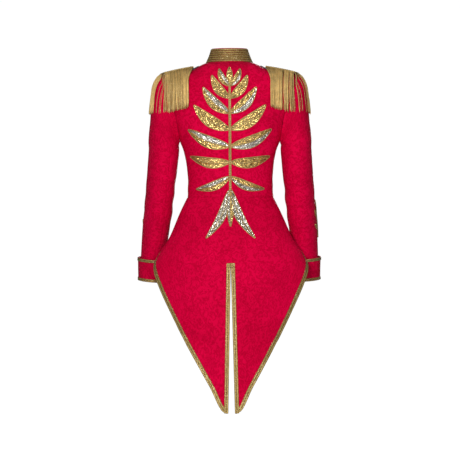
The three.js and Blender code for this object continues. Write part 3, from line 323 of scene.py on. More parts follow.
def column(tab, name, at):
    """A named column of a table, read by a monotone cubic through its rows."""
    k, v = tab["key"], tab[name]
    slope = np.diff(v) / np.diff(k)
    same = slope[:-1] * slope[1:]
    mean = np.where(same > 0, 2 * same / np.where(same > 0, slope[:-1] + slope[1:], 1), 0)
    m = np.concatenate([slope[:1], mean, slope[-1:]])
    x = np.clip(at, k[0], k[-1])
    i = np.clip(np.searchsorted(k, x) - 1, 0, len(k) - 2)
    span = k[i + 1] - k[i]
    t = (x - k[i]) / span
    return ((2 * t**3 - 3 * t**2 + 1) * v[i] + (t**3 - 2 * t**2 + t) * span * m[i]
            + (3 * t**2 - 2 * t**3) * v[i + 1] + (t**3 - t**2) * span * m[i + 1])


# The coat's driving sizes, the same as the CAD source's.
CLOTH = 2.0
WAIST_Z = -387
UNDERARM_Y, UNDERARM_Z = -1, -223
SHOULDER_X = 188
NECK_HALF, NECK_MID, NECK_BACK, NECK_FRONT = 70, -4, 62, 68
LAP_WIDTH, LAP_LIFT, LAP_RAMP = 12, 2.8, 34
ARMHOLE_BACK, ARMHOLE_FRONT = 53, 55
BRAID_WIDTH = 11
VENT_TOP, VENT_TIP_Z, VENT_TIP_GAP = -588, -1019, 10

TORSO = table("z half back front square",
              (-420, 131, 78, 101, 2.15), (-387, 127, 72, 98, 2.15), (-345, 125, 69, 97, 2.2),
              (-299, 128, 76, 106, 2.3), (-252, 136, 85, 122, 2.4), (-223, 147, 90, 127, 2.4),
              (-150, 178, 96, 118, 2.3), (-80, 203, 95, 104, 2.3), (0, 222, 90, 96, 2.3),
              (80, 228, 88, 90, 2.3))
SHOULDER = table("x ridge back front",
                 (0, 11, 0.16, 0.98), (56, 5, 0.18, 0.9), (80, -3, 0.26, 0.76), (98, -10, 0.34, 0.7),
                 (136, -17, 0.38, 0.6), (176, -21, 0.40, 0.55), (226, -31, 0.42, 0.55))
SKIRT = table("z half mid back front square",
              (-387, 127, 0, 72, 98, 2.15), (-430, 148, 3, 80, 107, 2.1), (-500, 178, 9, 89, 120, 2.05),
              (-590, 227, 17, 97, 138, 2.0), (-700, 248, 22, 102, 148, 2.0), (-850, 256, 24, 103, 150, 2.0),
              (-1040, 254, 22, 102, 150, 2.0))
HEM = table("across angle z",
            (0.00, 2.2, -1019), (0.02, 4.4, -1017), (0.14, 14.6, -937), (0.26, 26.9, -842),
            (0.38, 41.5, -748), (0.50, 60.5, -653), (0.57, 74.5, -607), (0.64, 92, -566),
            (0.74, 115, -500), (0.87, 146, -436), (1.00, 169, -412))
TAIL_FRONT_ANGLE = 169
FLUTES = ((21, 14, 4, -430, -640), (48, 15, -4, -420, -640), (78, 17, 3, -420, -640))
CAP = table("row tilt reach", (0, 79, 203), (1, 75, 204), (2, 71, 197.5), (3, 67, 186), (4, 61, 161),
            (5, 50, 129), (6, 35, 105), (7, 16, 93), (8, 0, 89))
ARM = table("z inner outer front back",
            (-236, 150.5, 239, -61, 57), (-276, 152.5, 241.5, -61, 55), (-347, 161, 247, -64, 48),
            (-417, 168, 253, -76, 30), (-488, 178.5, 260, -101, -4), (-556, 187, 264, -117, -28),
            (-628, 195, 267.5, -134, -53))
ARM_TOP, ARM_END = -236, -628
SWING = {LEFT: 0.011, RIGHT: -0.013}
SLEEVE_BACK, SLEEVE_FRONT = 118, -105
CUFF_FROM, CUFF_TO, CUFF_OVER, CUFF_FLARE = -566, -634, 7.5, -4.0
WRIST_FROM, WRIST_FULL, WRIST_SHARE = 500, 560, 0.3
COLLAR_HALF, COLLAR_BACK, COLLAR_FRONT, COLLAR_BACK_Z, COLLAR_FRONT_Z = 53, 52, -60, 51, -24
COLLAR_LEVEL = 0.15
COLLAR_THICK, COLLAR_ROWS, COLLAR_GAP, COLLAR_END = 2.5, 6, 0.8, 178.4
BOARD_INNER, BOARD_OUTER, BOARD_HALF_IN, BOARD_HALF_OUT, BOARD_ROUND = 106, 203, 36, 44, 12
BOARD_THICK, BOARD_CROWN, BOARD_BOW = 3.0, 0.7, 1.2
FELT_INNER, FELT_OUTER, FELT_HALF, FELT_THICK, FELT_LIFT = 91, 158, 38, 1.6, 0.5
FOOT_INNER, FOOT_OUTER = -122, -138
STRAND_RINGS = 17
# Groups of fringe along the epaulette's rim, front corner to back corner: where, and how many strands.
STRANDS = {
    LEFT: ((0.03, 0.30, 66), (0.35, 0.41, 8), (0.43, 0.615, 72), (0.635, 0.645, 1), (0.652, 0.662, 2),
           (0.672, 0.985, 128)),
    RIGHT: ((0.03, 0.30, 66), (0.35, 0.41, 8), (0.43, 0.575, 46), (0.605, 0.62, 3), (0.638, 0.645, 1),
            (0.652, 0.660, 3), (0.68, 0.718, 17), (0.728, 0.783, 24), (0.795, 0.985, 84)),
}
# Leaves down the back: height on the stem, length, width, lean above level, bend.
SPRAY = ((-62, 58, 19, 60, 6), (-98, 84, 26, 53, 8), (-142, 108, 31, 45, 10), (-190, 126, 34, 35, 11),
         (-239, 130, 34, 23, 11), (-285, 116, 30, 9, 10), (-328, 104, 26, -20, 9), (-366, 158, 25, -64, 12))
STEM_TOP, STEM_FOOT = -52, -384
FINIALS = ((-54, 46, 17, 90, 0), (-374, 100, 19, -90, 0))
EDGE_RISE, RIDGE_RISE = 0.9, 1.7
SLEEVE_SPRAY = ((-482, 36, 12, 35, 3), (-448, 36, 12, 44, 3))
SLEEVE_STEM_ANGLE = {LEFT: -52, RIGHT: -9}
SLEEVE_STEM_TOP, SLEEVE_STEM_FOOT = -430, -512
SLEEVE_FINIAL = (-434, 34, 10, 90, 0)
BUTTON_RADIUS, BUTTON_TALL, BUTTON_FROM, BUTTON_TO, BUTTONS = 8.5, 5.4, -78, -362, 6


# ---------------------------------------------------------------- the figure's surface
def section(tab, angle, z):
    """A point of a superellipse section, `angle` degrees round from centre back."""
    a = np.radians(angle)
    s, c = np.sin(a), np.cos(a)
    power = 2 / column(tab, "square", z)
    depth = np.where(c >= 0, column(tab, "back", z), column(tab, "front", z))
    mid = column(tab, "mid", z) if "mid" in tab else 0
    return xyz(np.sign(s) * column(tab, "half", z) * np.abs(s) ** power,
               mid + np.sign(c) * depth * np.abs(c) ** power, z)


def soft_part(y):
    return (y + np.sqrt(y * y + 22.0**2)) / 2 - 11.0


def figure(p):
    """Signed distance, near enough, outside the bodice's outer face."""
    x, y, z = np.abs(p[..., 0]), p[..., 1], p[..., 2]
    half, square = column(TORSO, "half", z), column(TORSO, "square", z)
    depth = np.where(y >= 0, column(TORSO, "back", z), column(TORSO, "front", z))
    ring = ((x / half) ** square + (np.abs(y) / depth) ** square) ** (1 / square)
    wall = np.hypot(x, y) * (1 - 1 / np.maximum(ring, 0.05))
    level = np.sqrt(x * x + 14.0**2) - 14.0
    top = (column(SHOULDER, "ridge", level) - column(SHOULDER, "back", level) * soft_part(y)
           - column(SHOULDER, "front", level) * soft_part(-y))
    over = (z - top) * 0.9
    h = np.maximum(46 - np.abs(wall - over), 0) / 46
    return np.maximum(wall, over) + h * h * 46 / 4


def gradient(p):
    g = np.empty_like(p)
    for i in range(3):
        step = np.zeros(3)
        step[i] = 0.4
        g[..., i] = (figure(p + step) - figure(p - step)) / 0.8
    return g


def settle(p, rounds=12):
    """Moves points along the figure's gradient onto its surface."""
    q = np.array(p, float)
    for _ in range(rounds):
        g = gradient(q)
        q -= g * (figure(q) / np.maximum((g * g).sum(-1), 1e-6))[..., None]
    return q


def reach(start, way, far=320.0):
    """Where rays leave the figure."""
    start, way = np.asarray(start, float), np.asarray(way, float)
    low, high = np.zeros(start.shape[:-1]), np.full(start.shape[:-1], far)
    for _ in range(34):
        mid = (low + high) / 2
        inside = figure(start + mid[..., None] * way) < 0
        low, high = np.where(inside, mid, low), np.where(inside, high, mid)
    return start + low[..., None] * way


UP = (0, 0, 1)


def neckline(angle):
    a = np.radians(angle)
    depth = np.where(np.cos(a) >= 0, NECK_BACK, NECK_FRONT)
    return reach(xyz(NECK_HALF * np.sin(a), NECK_MID + depth * np.cos(a), -140), UP)


def shoulder_seam(t):
    return reach(xyz(lerp(NECK_HALF, SHOULDER_X, t), lerp(NECK_MID, UNDERARM_Y, t), -140), UP)


SHOULDER_TIP_Z = reach(xyz(SHOULDER_X, UNDERARM_Y, -140), UP)[2]


def armhole(angle):
    a = np.radians(angle)
    middle, tall = (SHOULDER_TIP_Z + UNDERARM_Z) / 2, (SHOULDER_TIP_Z - UNDERARM_Z) / 2
    wide = np.where(np.sin(a) >= 0, ARMHOLE_BACK, ARMHOLE_FRONT)
    return reach(xyz(20, UNDERARM_Y + wide * np.sin(a), middle + tall * np.cos(a)), (1, 0, 0))


def side_seam(t):
    return reach(xyz(0, UNDERARM_Y, lerp(WAIST_Z, UNDERARM_Z, t)), (1, 0, 0))


def over_figure(places):
    """A line over the figure through rough places, at even steps along its length."""
    places = np.array(places, float)

    def along(t):
        fine = np.linspace(0, 1, 161)
        run = np.concatenate([[0], np.cumsum(np.linalg.norm(np.diff(places, axis=0), axis=1))])
        line = settle(np.stack([np.interp(fine * run[-1], run, places[:, i]) for i in range(3)], -1))
        run = np.concatenate([[0], np.cumsum(np.linalg.norm(np.diff(line, axis=0), axis=1))])
        return settle(np.stack([np.interp(t * run[-1], run, line[:, i]) for i in range(3)], -1), 3)

    return along


def joined(first, second, share):
    return lambda t: np.where((t <= share)[:, None], first(np.clip(t / share, 0, 1)),
                              second(np.clip((t - share) / (1 - share), 0, 1)))


def panel(bottom, top, inner, outer):
    """A panel hung between its four edges, laid on the figure and evened out as cloth is."""
    u, v = np.linspace(0, 1, 51), np.linspace(0, 1, 101)
    b, t, i, o = bottom(u), top(u), inner(v), outer(v)
    uu, vv = u[None, :, None], v[:, None, None]
    grid = ((1 - vv) * b + vv * t + (1 - uu) * i[:, None] + uu * o[:, None]
            - (1 - uu) * (1 - vv) * b[0] - uu * (1 - vv) * b[-1] - (1 - uu) * vv * t[0] - uu * vv * t[-1])
    grid = settle(grid)
    for turn in range(220):
        grid[1:-1, 1:-1] = (grid[:-2, 1:-1] + grid[2:, 1:-1] + grid[1:-1, :-2] + grid[1:-1, 2:]) / 4
        if turn % 20 == 19:
            grid[1:-1, 1:-1] = settle(grid[1:-1, 1:-1], 3)
    return grid


def lap_lift(x):
    return LAP_LIFT * (1 - smoothstep(-np.minimum(x, 0), LAP_WIDTH + 4, LAP_WIDTH + LAP_RAMP))


# ---------------------------------------------------------------- folds of the cloth, as heights
def body_folds(p):
    """Soft drag lines of the bodice, from each armhole and round the waist."""
    x, y, z = p[..., 0], p[..., 1], p[..., 2]
    ax, side = np.abs(x), np.sign(x)
    back = smoothstep(y, -40, 40)
    waist = 0.75 * np.sin((z + 372) / 7.5 + ax / 23 + 0.6 * side)
    waist = waist * bell(z, -366, 30) * smoothstep(ax, 55, 118)
    arm = 0.8 * np.sin((z * 0.55 - ax * 0.85) / 8.5 + 0.8 * side)
    arm = arm * bell(z, -215, 48) * smoothstep(ax, 70, 140)
    yoke = 0.5 * np.sin(ax / 9 + z / 40) * bell(z, -60, 34) * smoothstep(ax, 60, 110)
    long_wave = 0.55 * np.sin(x / 37 + 1.3) * np.sin(z / 61 + side)
    bust = 0.6 * np.sin((z + ax * 0.7) / 9.5) * bell(z, -235, 34) * bell(ax, 95, 34) * (1 - back)
    return waist + arm * (0.55 + 0.45 * back) + yoke + long_wave + bust


# Creases across the tails: place, half length, half width, slope and depth.
CREASES = {
    LEFT: ((95, -800, 42, 9, 0.25, -1.9), (100, -778, 50, 12, 0.30, 1.5), (62, -838, 34, 8, -0.20, -1.5),
           (70, -858, 40, 11, -0.15, 1.1), (120, -690, 60, 20, 0.75, 1.4), (60, -700, 40, 15, -0.6, 1.0),
           (150, -560, 60, 22, 0.9, 1.2), (40, -915, 26, 10, 0.4, -1.0)),
    RIGHT: ((88, -812, 44, 9, -0.35, -1.9), (96, -790, 50, 13, -0.32, 1.5), (60, -772, 40, 10, -0.4, -1.1),
            (66, -850, 36, 10, 0.2, 1.0), (118, -680, 60, 18, 0.7, 1.4), (64, -660, 42, 16, 0.5, -1.1),
            (160, -570, 56, 22, 0.9, 1.1), (44, -905, 26, 10, -0.4, -1.0)),
}


def tail_folds(side, x, z):
    """Creases and long soft waves of a tail at a distance from the centre plane and a height."""
    fade = smoothstep(-z, 395, 470)
    height = 0.8 * np.sin(x / 31 + side * 0.9 + z / 210) * fade
    height = height + 0.5 * np.sin((x * 0.8 + z * 0.6) / 21 + 2.0 * side) * fade
    for cx, cz, long, wide, slope, deep in CREASES[side]:
        along = ((x - cx) + (z - cz) * slope) / math.hypot(1, slope)
        beside = ((z - cz) - (x - cx) * slope) / math.hypot(1, slope)
        beside = beside + 0.004 * along**2 * np.sign(slope)
        height = height + 1.7 * deep * bell(along, 0, long) * bell(beside, 0, wide)
    return height


def sleeve_folds(side, angle, t):
    """Elbow creases on the inside of the bend, drag lines under the head, long folds down the arm."""
    a = np.radians(angle)
    elbow = 2.0 * np.sin(t * 74 + 1.5 * np.cos(a + 0.7) + side) * bell(t, 0.66, 0.085)
    elbow = elbow * (0.35 + 0.65 * smoothstep(-np.sin(a + 0.5), -0.2, 0.9))
    head = 1.0 * np.sin(a * 7 + side) * bell(t, 0.13, 0.10)
    under = 1.3 * np.sin(t * 60 - 2.2 * np.sin(a)) * bell(t, 0.40, 0.09) * smoothstep(-np.cos(a), -0.3, 0.8)
    long_fold = 1.1 * np.sin(2 * a + 4.5 * t + 0.8 * side) * smoothstep(t, 0.28, 0.5)
    return (elbow + head + under + long_fold) * smoothstep(t, 0.0, 0.05) * (1 - 0.7 * smoothstep(t, 0.86, 1))


# ---------------------------------------------------------------- making meshes
def signed_volume(points, quads):
    a, b, c, d = (points[quads[:, i]] for i in range(4))
    return float((a * np.cross(b, c)).sum() + (a * np.cross(c, d)).sum())


def mesh_object(name, points, groups, looks, attributes=(), smooth=True, sharp=None):
    """A mesh from millimetre points and (faces, material index) groups, riding on the coat's body."""
    mesh = bpy.data.meshes.new(name)
    mesh.vertices.add(len(points))
    mesh.vertices.foreach_set("co", (np.asarray(points) * MM).astype(np.float32).ravel())
    loops = np.concatenate([f.ravel() for f, _ in groups])
    totals = np.concatenate([np.full(len(f), f.shape[1]) for f, _ in groups])
    mesh.loops.add(len(loops))
    mesh.loops.foreach_set("vertex_index", loops.astype(np.int32))
    mesh.polygons.add(len(totals))
    mesh.polygons.foreach_set("loop_start", np.concatenate([[0], np.cumsum(totals)[:-1]]).astype(np.int32))
    mesh.polygons.foreach_set("material_index", np.concatenate(
        [np.full(len(f), m) for f, m in groups]).astype(np.int32))
    mesh.polygons.foreach_set("use_smooth", np.full(len(totals), smooth))
    mesh.update(calc_edges=True)
    mesh.validate()
    for key, values in dict(attributes).items():
        values = np.asarray(values, np.float32)
        vector = values.ndim == 2
        layer = mesh.attributes.new(key, "FLOAT_VECTOR" if vector else "FLOAT", "POINT")
        layer.data.foreach_set("vector" if vector else "value", values.ravel())
    if sharp is not None:
        mesh.set_sharp_from_angle(angle=math.radians(sharp))
    for look in looks:
        mesh.materials.append(look)
    obj = bpy.data.objects.new(name, mesh)
    bpy.context.scene.collection.objects.link(obj)
    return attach(obj, "root")


def lengths(grid):
    """Length along each row and down each column of a grid."""
    across = np.linalg.norm(np.diff(grid, axis=1), axis=-1)
    down = np.linalg.norm(np.diff(grid, axis=0), axis=-1)
    return (np.concatenate([np.zeros((len(grid), 1)), np.cumsum(across, 1)], 1),
            np.concatenate([np.zeros((1, grid.shape[1])), np.cumsum(down, 0)], 0))


def runs(grid, ring=False):
    """Those lengths in metres, for the threads' directions."""
    across, down = lengths(grid)
    if ring:
        across = np.minimum(across, across[:, -1:] - across)
    return xyz(across, down, 0) * MM


def wrap(index, loop=False):
    """Quads between neighbouring rings of point numbers, each ring closed on itself."""
    side = np.concatenate([index, index[..., :1]], -1)
    if loop:
        side = np.concatenate([side, side[..., :1, :]], -2)
    corners = [side[..., :-1, :-1], side[..., :-1, 1:], side[..., 1:, 1:], side[..., 1:, :-1]]
    return np.stack(corners, -1).reshape(-1, 4)


def shell(name, outer, inner, node, ring=False, looks=None, shift=(0, 0)):
    """A closed piece of cloth from the grids of its face and its lining."""
    rows, cols = outer.shape[:2]
    points = np.concatenate([outer.reshape(-1, 3), inner.reshape(-1, 3)])
    o = np.arange(rows * cols).reshape(rows, cols)
    if ring:
        o = np.concatenate([o, o[:, :1]], 1)
    i = o + rows * cols

    def quads(a, b, c, d):
        return np.stack([a, b, c, d], -1).reshape(-1, 4)

    face = quads(o[:-1, :-1], o[:-1, 1:], o[1:, 1:], o[1:, :-1])
    back = quads(i[:-1, :-1], i[1:, :-1], i[1:, 1:], i[:-1, 1:])
    rims = [quads(o[0, :-1], i[0, :-1], i[0, 1:], o[0, 1:]),
            quads(o[-1, :-1], o[-1, 1:], i[-1, 1:], i[-1, :-1])]
    if not ring:
        rims.append(quads(o[:-1, 0], o[1:, 0], i[1:, 0], i[:-1, 0]))
        rims.append(quads(o[:-1, -1], i[:-1, -1], i[1:, -1], o[1:, -1]))
    groups = [face, back, *rims]
    if signed_volume(points, np.concatenate(groups)) < 0:
        groups = [g[:, ::-1] for g in groups]
    along = runs(outer, ring).reshape(-1, 3) + np.array([*shift, 0])
    obj = mesh_object(name, points, [(g, 1 if k == 1 else 0) for k, g in enumerate(groups)],
                      looks or (CLOTH_LOOK, LINING_LOOK), {"along": np.concatenate([along, along])}, sharp=55)
    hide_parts(node)
    return obj


def solid_rings(name, rings, looks, attributes, loop=False, sharp=None):
    """A rod, or several with the same counts, from rings of points: shape (rods, rings, around, 3)."""
    rods, count, around = rings.shape[:3]
    index = np.arange(rods * count * around).reshape(rods, count, around)
    quads = wrap(index, loop)
    points = rings.reshape(-1, 3)
    groups = [quads]
    if not loop:
        groups += [index[:, 0, ::-1], index[:, -1]]
    if signed_volume(points, quads) < 0:
        groups = [g[:, ::-1] for g in groups]
    return mesh_object(name, points, [(g, 0) for g in groups], looks, attributes, sharp=sharp)


def ring_normals(grid):
    across = np.roll(grid, -1, 1) - np.roll(grid, 1, 1)
    return unit(np.cross(across, np.gradient(grid, axis=0)))


def outward(normals, towards):
    return normals if (normals * towards).sum() > 0 else -normals


def resample(grid, rows, cols):
    """A grid read between its points at fractions of its height and width."""
    r = rows * (grid.shape[0] - 1)
    c = cols * (grid.shape[1] - 1)
    r0 = np.minimum(r.astype(int), grid.shape[0] - 2)
    c0 = np.minimum(c.astype(int), grid.shape[1] - 2)
    fr, fc = (r - r0)[:, None, None], (c - c0)[None, :, None]
    low = grid[r0][:, c0] * (1 - fc) + grid[r0][:, c0 + 1] * fc
    high = grid[r0 + 1][:, c0] * (1 - fc) + grid[r0 + 1][:, c0 + 1] * fc
    return low * (1 - fr) + high * fr


def edged(count, length, high=True):
    """Even stations from 0 to 1 with closer ones beside the ends, where a seam rolls in."""
    near = np.array([0.7, 1.5, 2.6]) / length
    parts = [np.linspace(0, 1, count + 1), near]
    if high:
        parts.append(1 - near)
    return np.unique(np.concatenate(parts).round(6))


def seam_roll(grid, edges, deep):
    """How far cloth rolls in and puckers beside its sewn edges."""
    across, down = lengths(grid)
    height = np.zeros(grid.shape[:2])
    for edge in edges:
        away = {"first": across, "last": across[:, -1:] - across,
                "bottom": down, "top": down[-1:] - down}[edge]
        run = down if edge in ("first", "last") else across
        phase = {"first": 0.3, "last": 1.9, "bottom": 3.1, "top": 4.4}[edge]
        pucker = np.sin(run / 2.1 + phase + 1.7 * np.sin(run / 13.0 + phase))
        height -= deep * np.exp(-((away / 1.25) ** 2)) + 0.16 * (1 + pucker) * np.exp(-away / 5.0)
    return height


# ---------------------------------------------------------------- bodice
def bodice():
    centre_back = over_figure([section(TORSO, 0, WAIST_Z), (0, 69, -345), (0, 85, -252), (0, 96, -150),
                               (0, 88, -60), neckline(np.array(0.0))])
    back = panel(lambda t: section(TORSO, 90.5 * t, WAIST_Z),
                 joined(lambda t: neckline(90 * t), shoulder_seam, 0.42), centre_back,
                 joined(side_seam, lambda t: armhole(180 - 180 * t), 0.42))
    neck_lap = math.degrees(math.asin(LAP_WIDTH / NECK_HALF))
    waist_lap = math.degrees(math.asin((LAP_WIDTH / 127) ** (2.15 / 2)))
    centre_front = over_figure([section(TORSO, 180 + waist_lap, WAIST_Z), (-LAP_WIDTH, -97, -345),
                                (-LAP_WIDTH, -122, -252), (-LAP_WIDTH, -118, -150),
                                neckline(np.array(180 + neck_lap))])
    front = panel(lambda t: section(TORSO, 180 + waist_lap - (89.5 + waist_lap) * t, WAIST_Z),
                  joined(lambda t: neckline(180 + neck_lap - (90 + neck_lap) * t), shoulder_seam, 0.42),
                  centre_front, joined(side_seam, lambda t: armhole(180 + 180 * t), 0.42))
    for part, grid, edges in (("back", back, ("first", "last", "bottom", "top")),
                              ("front", front, ("last", "bottom", "top"))):
        grid = resample(grid, edged(90, 400), edged(44, 150))
        grid[1:-1, 1:-1] = settle(grid[1:-1, 1:-1], 4)
        roll = seam_roll(grid, edges, 0.75)
        for side, word in SIDES:
            base = on_side(side, grid)
            normal = unit(gradient(base))
            if part == "front" and side == RIGHT:
                base = base + normal * lap_lift(base[..., 0])[..., None]
            folds = body_folds(base)
            outer = base + normal * (folds + roll)[..., None]
            inner = base + normal * (folds - CLOTH)[..., None]
            shell(f"{part}_{word}_cloth", outer, inner, f"{part}_{word}",
                                             shift=(0.31 * side, 0.2 if part == "back" else 0.9))


# ---------------------------------------------------------------- tails
def hem(u):
    return column(HEM, "angle", u), column(HEM, "z", u)


def tail_face(angle, z):
    p = section(SKIRT, angle, z)
    out = unit(xyz(p[..., 0] / 2, p[..., 1], 0))
    for at, spread, depth, start, full in FLUTES:
        p = p + out * (depth * bell(angle, at, spread) * smoothstep(-z, -start, -full))[..., None]
    return p


def tail_normal(angle, z):
    around = tail_face(angle + 0.5, z) - tail_face(angle - 0.5, z)
    down = tail_face(angle, z - 2) - tail_face(angle, z + 2)
    return unit(np.cross(around, down))


def tail_angle(x, z):
    share = np.clip(x / column(SKIRT, "half", z), 0, 1)
    return np.degrees(np.arcsin(share ** (column(SKIRT, "square", z) / 2)))


def vent_half_gap(z):
    return np.where(z > VENT_TOP, 0, lerp(0.6, VENT_TIP_GAP, (VENT_TOP - z) / (VENT_TOP - VENT_TIP_Z)))


def tail_spot(side, angle, z, lift):
    """A point on a tail's folded face, and the way out of the cloth there."""
    p, normal = tail_face(angle, z), tail_normal(angle, z)
    height = tail_folds(side, p[..., 0], z) + lift
    return on_side(side, p + normal * height[..., None]), on_side(side, normal)


def tails():
    u = edged(84, 330)
    v = edged(96, 600)[:, None]
    foot_angle, foot_z = hem(u)
    z = lerp(WAIST_Z, foot_z, v)
    edge = tail_angle(vent_half_gap(z), z)
    straight = lerp(TAIL_FRONT_ANGLE * u, foot_angle, v)
    to_centre = (edge - lerp(0, 2.2, v)) * (1 - u) ** 8
    angle = np.maximum(straight + to_centre, edge)
    base, normal = tail_face(angle, z), tail_normal(angle, z)
    sewn = (z > VENT_TOP - 4) * 1.0
    roll = seam_roll(base, ("bottom",), 0.8) + seam_roll(base, ("first",), 0.6) * sewn
    for side, word in SIDES:
        folds = tail_folds(side, base[..., 0], z)
        outer = base + normal * (folds + roll)[..., None]
        inner = base + normal * (folds - CLOTH)[..., None]
        for face in (outer, inner):
            face[:, 0, 0] -= 0.5 * sewn[:, 0]
        outer, inner = on_side(side, outer), on_side(side, inner)
        shell(f"tail_{word}_cloth", outer, inner, f"tail_{word}",
                                       shift=(0.47 * side, 1.7))


# ---------------------------------------------------------------- braid, cord and relief
def finely(line, step):
    """A polyline, or several side by side, read again at even steps along the first one."""
    run = np.concatenate([[0], np.cumsum(np.linalg.norm(np.diff(line[:, 0], axis=0), axis=1))])
    at = np.linspace(0, run[-1], max(int(run[-1] / step), 4) + 1)
    flat = line.reshape(len(line), -1)
    return np.stack([np.interp(at, run, flat[:, k]) for k in range(flat.shape[1])], -1).reshape(
        len(at), *line.shape[1:]), at


BRAID_STEP = 1.3


def braid(name, first, last, normal, node=None, thick=1.3, lift=0.15, pitch=5.0, loop=False, ribs=2):
    """Flat gold braid between two edge lines, of one or two ribs of slanting plaits."""
    lines, run = finely(np.stack([first, last, normal], 1), BRAID_STEP)
    a, b, n = lines[:, 0], lines[:, 1], unit(lines[:, 2])
    if loop:
        a, b, n, run = a[:-1], b[:-1], n[:-1], run[:-1]
        pitch = (run[-1] + BRAID_STEP) / round((run[-1] + BRAID_STEP) / pitch)
    w = np.array([0, 0.03, 0.12, 0.26, 0.40, 0.47, 0.5, 0.53, 0.60, 0.74, 0.88, 0.97, 1.0])
    off = np.abs(w - 0.5) * 2
    plait = 0.5 + 0.5 * np.cos(2 * np.pi * (run[:, None] / pitch + 0.75 * off[None]))
    rib = np.sin(np.pi * np.clip((off - 0.04) / 0.92, 0, 1)) ** 0.6 if ribs == 2 else np.cos(np.pi / 2 * off)
    relief = rib[None] * (0.30 + 0.70 * plait)
    body = np.where((w > 0) & (w < 1), 0.62, 0.0)
    height = lift + thick * (body[None] * (ribs / 2) + (0.42 if ribs == 2 else 0.9) * relief)
    top = a[:, None] + (b - a)[:, None] * w[None, :, None] + n[:, None] * height[..., None]
    under = np.stack([b + n * (lift - 0.1), a + n * (lift - 0.1)], 1)
    rings = np.concatenate([top, under], 1)
    # The relief is also stored for the gold material, which paints shade in the braid's grooves and along its
    # edges, where it gives painted shade lines between the collar's rows, and a highlight on its crowns; the
    # underside is painted as full shade.
    shade = np.concatenate([relief, np.zeros((len(a), 2))], 1)
    wide = np.linalg.norm(b - a, axis=1).mean()
    along = xyz(run[:, None], np.concatenate([w, [1, 0]])[None] * wide, 0) * MM
    obj = solid_rings(name, rings[None], [BRAID_LOOK],
                      {"relief": shade.ravel(), "along": along.reshape(-1, 3)}, loop, sharp=70)
    if node:
        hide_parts(node)


def twisted(name, paths, normals, radius, look, pitch, around, step):
    """Two-ply twisted cords along lines that lie on cloth, all in one mesh."""
    groups, shades, alongs, faces = [], [], [], []
    start = 0
    for path, normal in zip(paths, normals):
        lines, run = finely(np.stack([path, normal], 1), step)
        p, n = lines[:, 0], lines[:, 1]
        if len(p) < 3:
            continue
        tangent = unit(np.gradient(p, axis=0))
        out = unit(n - tangent * (n * tangent).sum(-1, keepdims=True))
        beside = np.cross(tangent, out)
        phi = np.linspace(0, 2 * np.pi, around, endpoint=False)[None]
        ply = np.abs(np.cos(phi - np.pi * run[:, None] / pitch))
        taper = np.clip(np.minimum(run, run[-1] - run) / 1.5, 0.35, 1)[:, None]
        r = (radius * taper * (0.80 + 0.25 * ply))[..., None]
        ring = (p[:, None] + out[:, None] * (r * np.sin(phi)[..., None] + radius * 0.75)
                + beside[:, None] * r * np.cos(phi)[..., None])
        count = len(p)
        index = np.arange(count * around).reshape(count, around) + start
        faces.append(wrap(index)[:, ::-1])
        cap = index[[0, -1]]
        faces.append(np.stack([cap[0], cap[1][::-1]]))
        groups.append(ring.reshape(-1, 3))
        # Each ply's bulge is stored as relief, so the gold material paints shade between the plies and a
        # highlight on them.
        shades.append(((ply - 0.35) / 0.65).ravel())
        alongs.append((xyz(run[:, None], phi * radius, 0) * MM).reshape(-1, 3))
        start += count * around
    points = np.concatenate(groups)
    obj = mesh_object(name, points, [(f, 0) for f in faces], [look],
                      {"relief": np.clip(np.concatenate(shades), 0, 1), "along": np.concatenate(alongs)})


def tail_braids():
    u = np.concatenate([[0.006, 0.02], np.linspace(0.04, 0.992, 190)])
    angle, z = hem(u)
    p = tail_face(angle, z)
    normal = tail_normal(angle, z)
    inward = unit(np.cross(np.gradient(p, axis=0), normal))
    inward = np.where(((inward * xyz(0, 0, 1)).sum(-1) > 0)[:, None], inward, -inward)

    def beside(angle, z, way, far):
        """The place `far` from (angle, z) along the tail's face."""
        here = tail_face(angle, z)
        per_angle = (tail_face(angle + 0.5, z) - here) / 0.5
        per_z = (tail_face(angle, z + 0.5) - here) / 0.5
        aa, az, zz = ((per_angle**2).sum(-1), (per_angle * per_z).sum(-1), (per_z**2).sum(-1))
        wa, wz = (way * far * per_angle).sum(-1), (way * far * per_z).sum(-1)
        det = aa * zz - az * az
        return angle + (wa * zz - wz * az) / det, z + (wz * aa - wa * az) / det

    vent_z = np.linspace(VENT_TIP_Z + 1, VENT_TOP - 4, 90)
    vent_a = tail_angle(vent_half_gap(vent_z) + 0.2, vent_z)
    vent_way = unit(tail_face(vent_a + 0.5, vent_z) - tail_face(vent_a, vent_z))
    for side, word in SIDES:
        for part, (a, zz, way) in {"hem": (angle, z, inward), "vent": (vent_a, vent_z, vent_way)}.items():
            edges = []
            for far in (-0.8, BRAID_WIDTH + 0.8):
                spot, n = tail_spot(side, *beside(a, zz, way, far), 0.0)
                edges.append(spot)
            braid(f"{part}_braid_{word}_plait", edges[0], edges[1], n, f"{part}_braid_{word}",
                  lift=0.15 if part == "hem" else 0.45)
    x = np.linspace(-BRAID_WIDTH - 1, BRAID_WIDTH + 1, 24)
    rows = []
    for up in (-3.6, 8):
        zz = np.full(x.shape, VENT_TOP + up)
        p, n = tail_face(tail_angle(np.abs(x), zz), zz), tail_normal(tail_angle(np.abs(x), zz), zz)
        sign = np.where(x < 0, -1.0, 1.0)[:, None] * np.array([1, 0, 0]) + np.array([0, 1.0, 1.0])
        folds = np.where(x < 0, tail_folds(RIGHT, np.abs(x), zz), tail_folds(LEFT, np.abs(x), zz))
        rows.append((p * sign + n * sign * folds[:, None], n * sign))
    braid("vent_bar_plait", rows[0][0], rows[1][0], rows[0][1], "vent_bar", lift=1.1)


# ---------------------------------------------------------------- sleeves
CAP_SHARE = 0.42


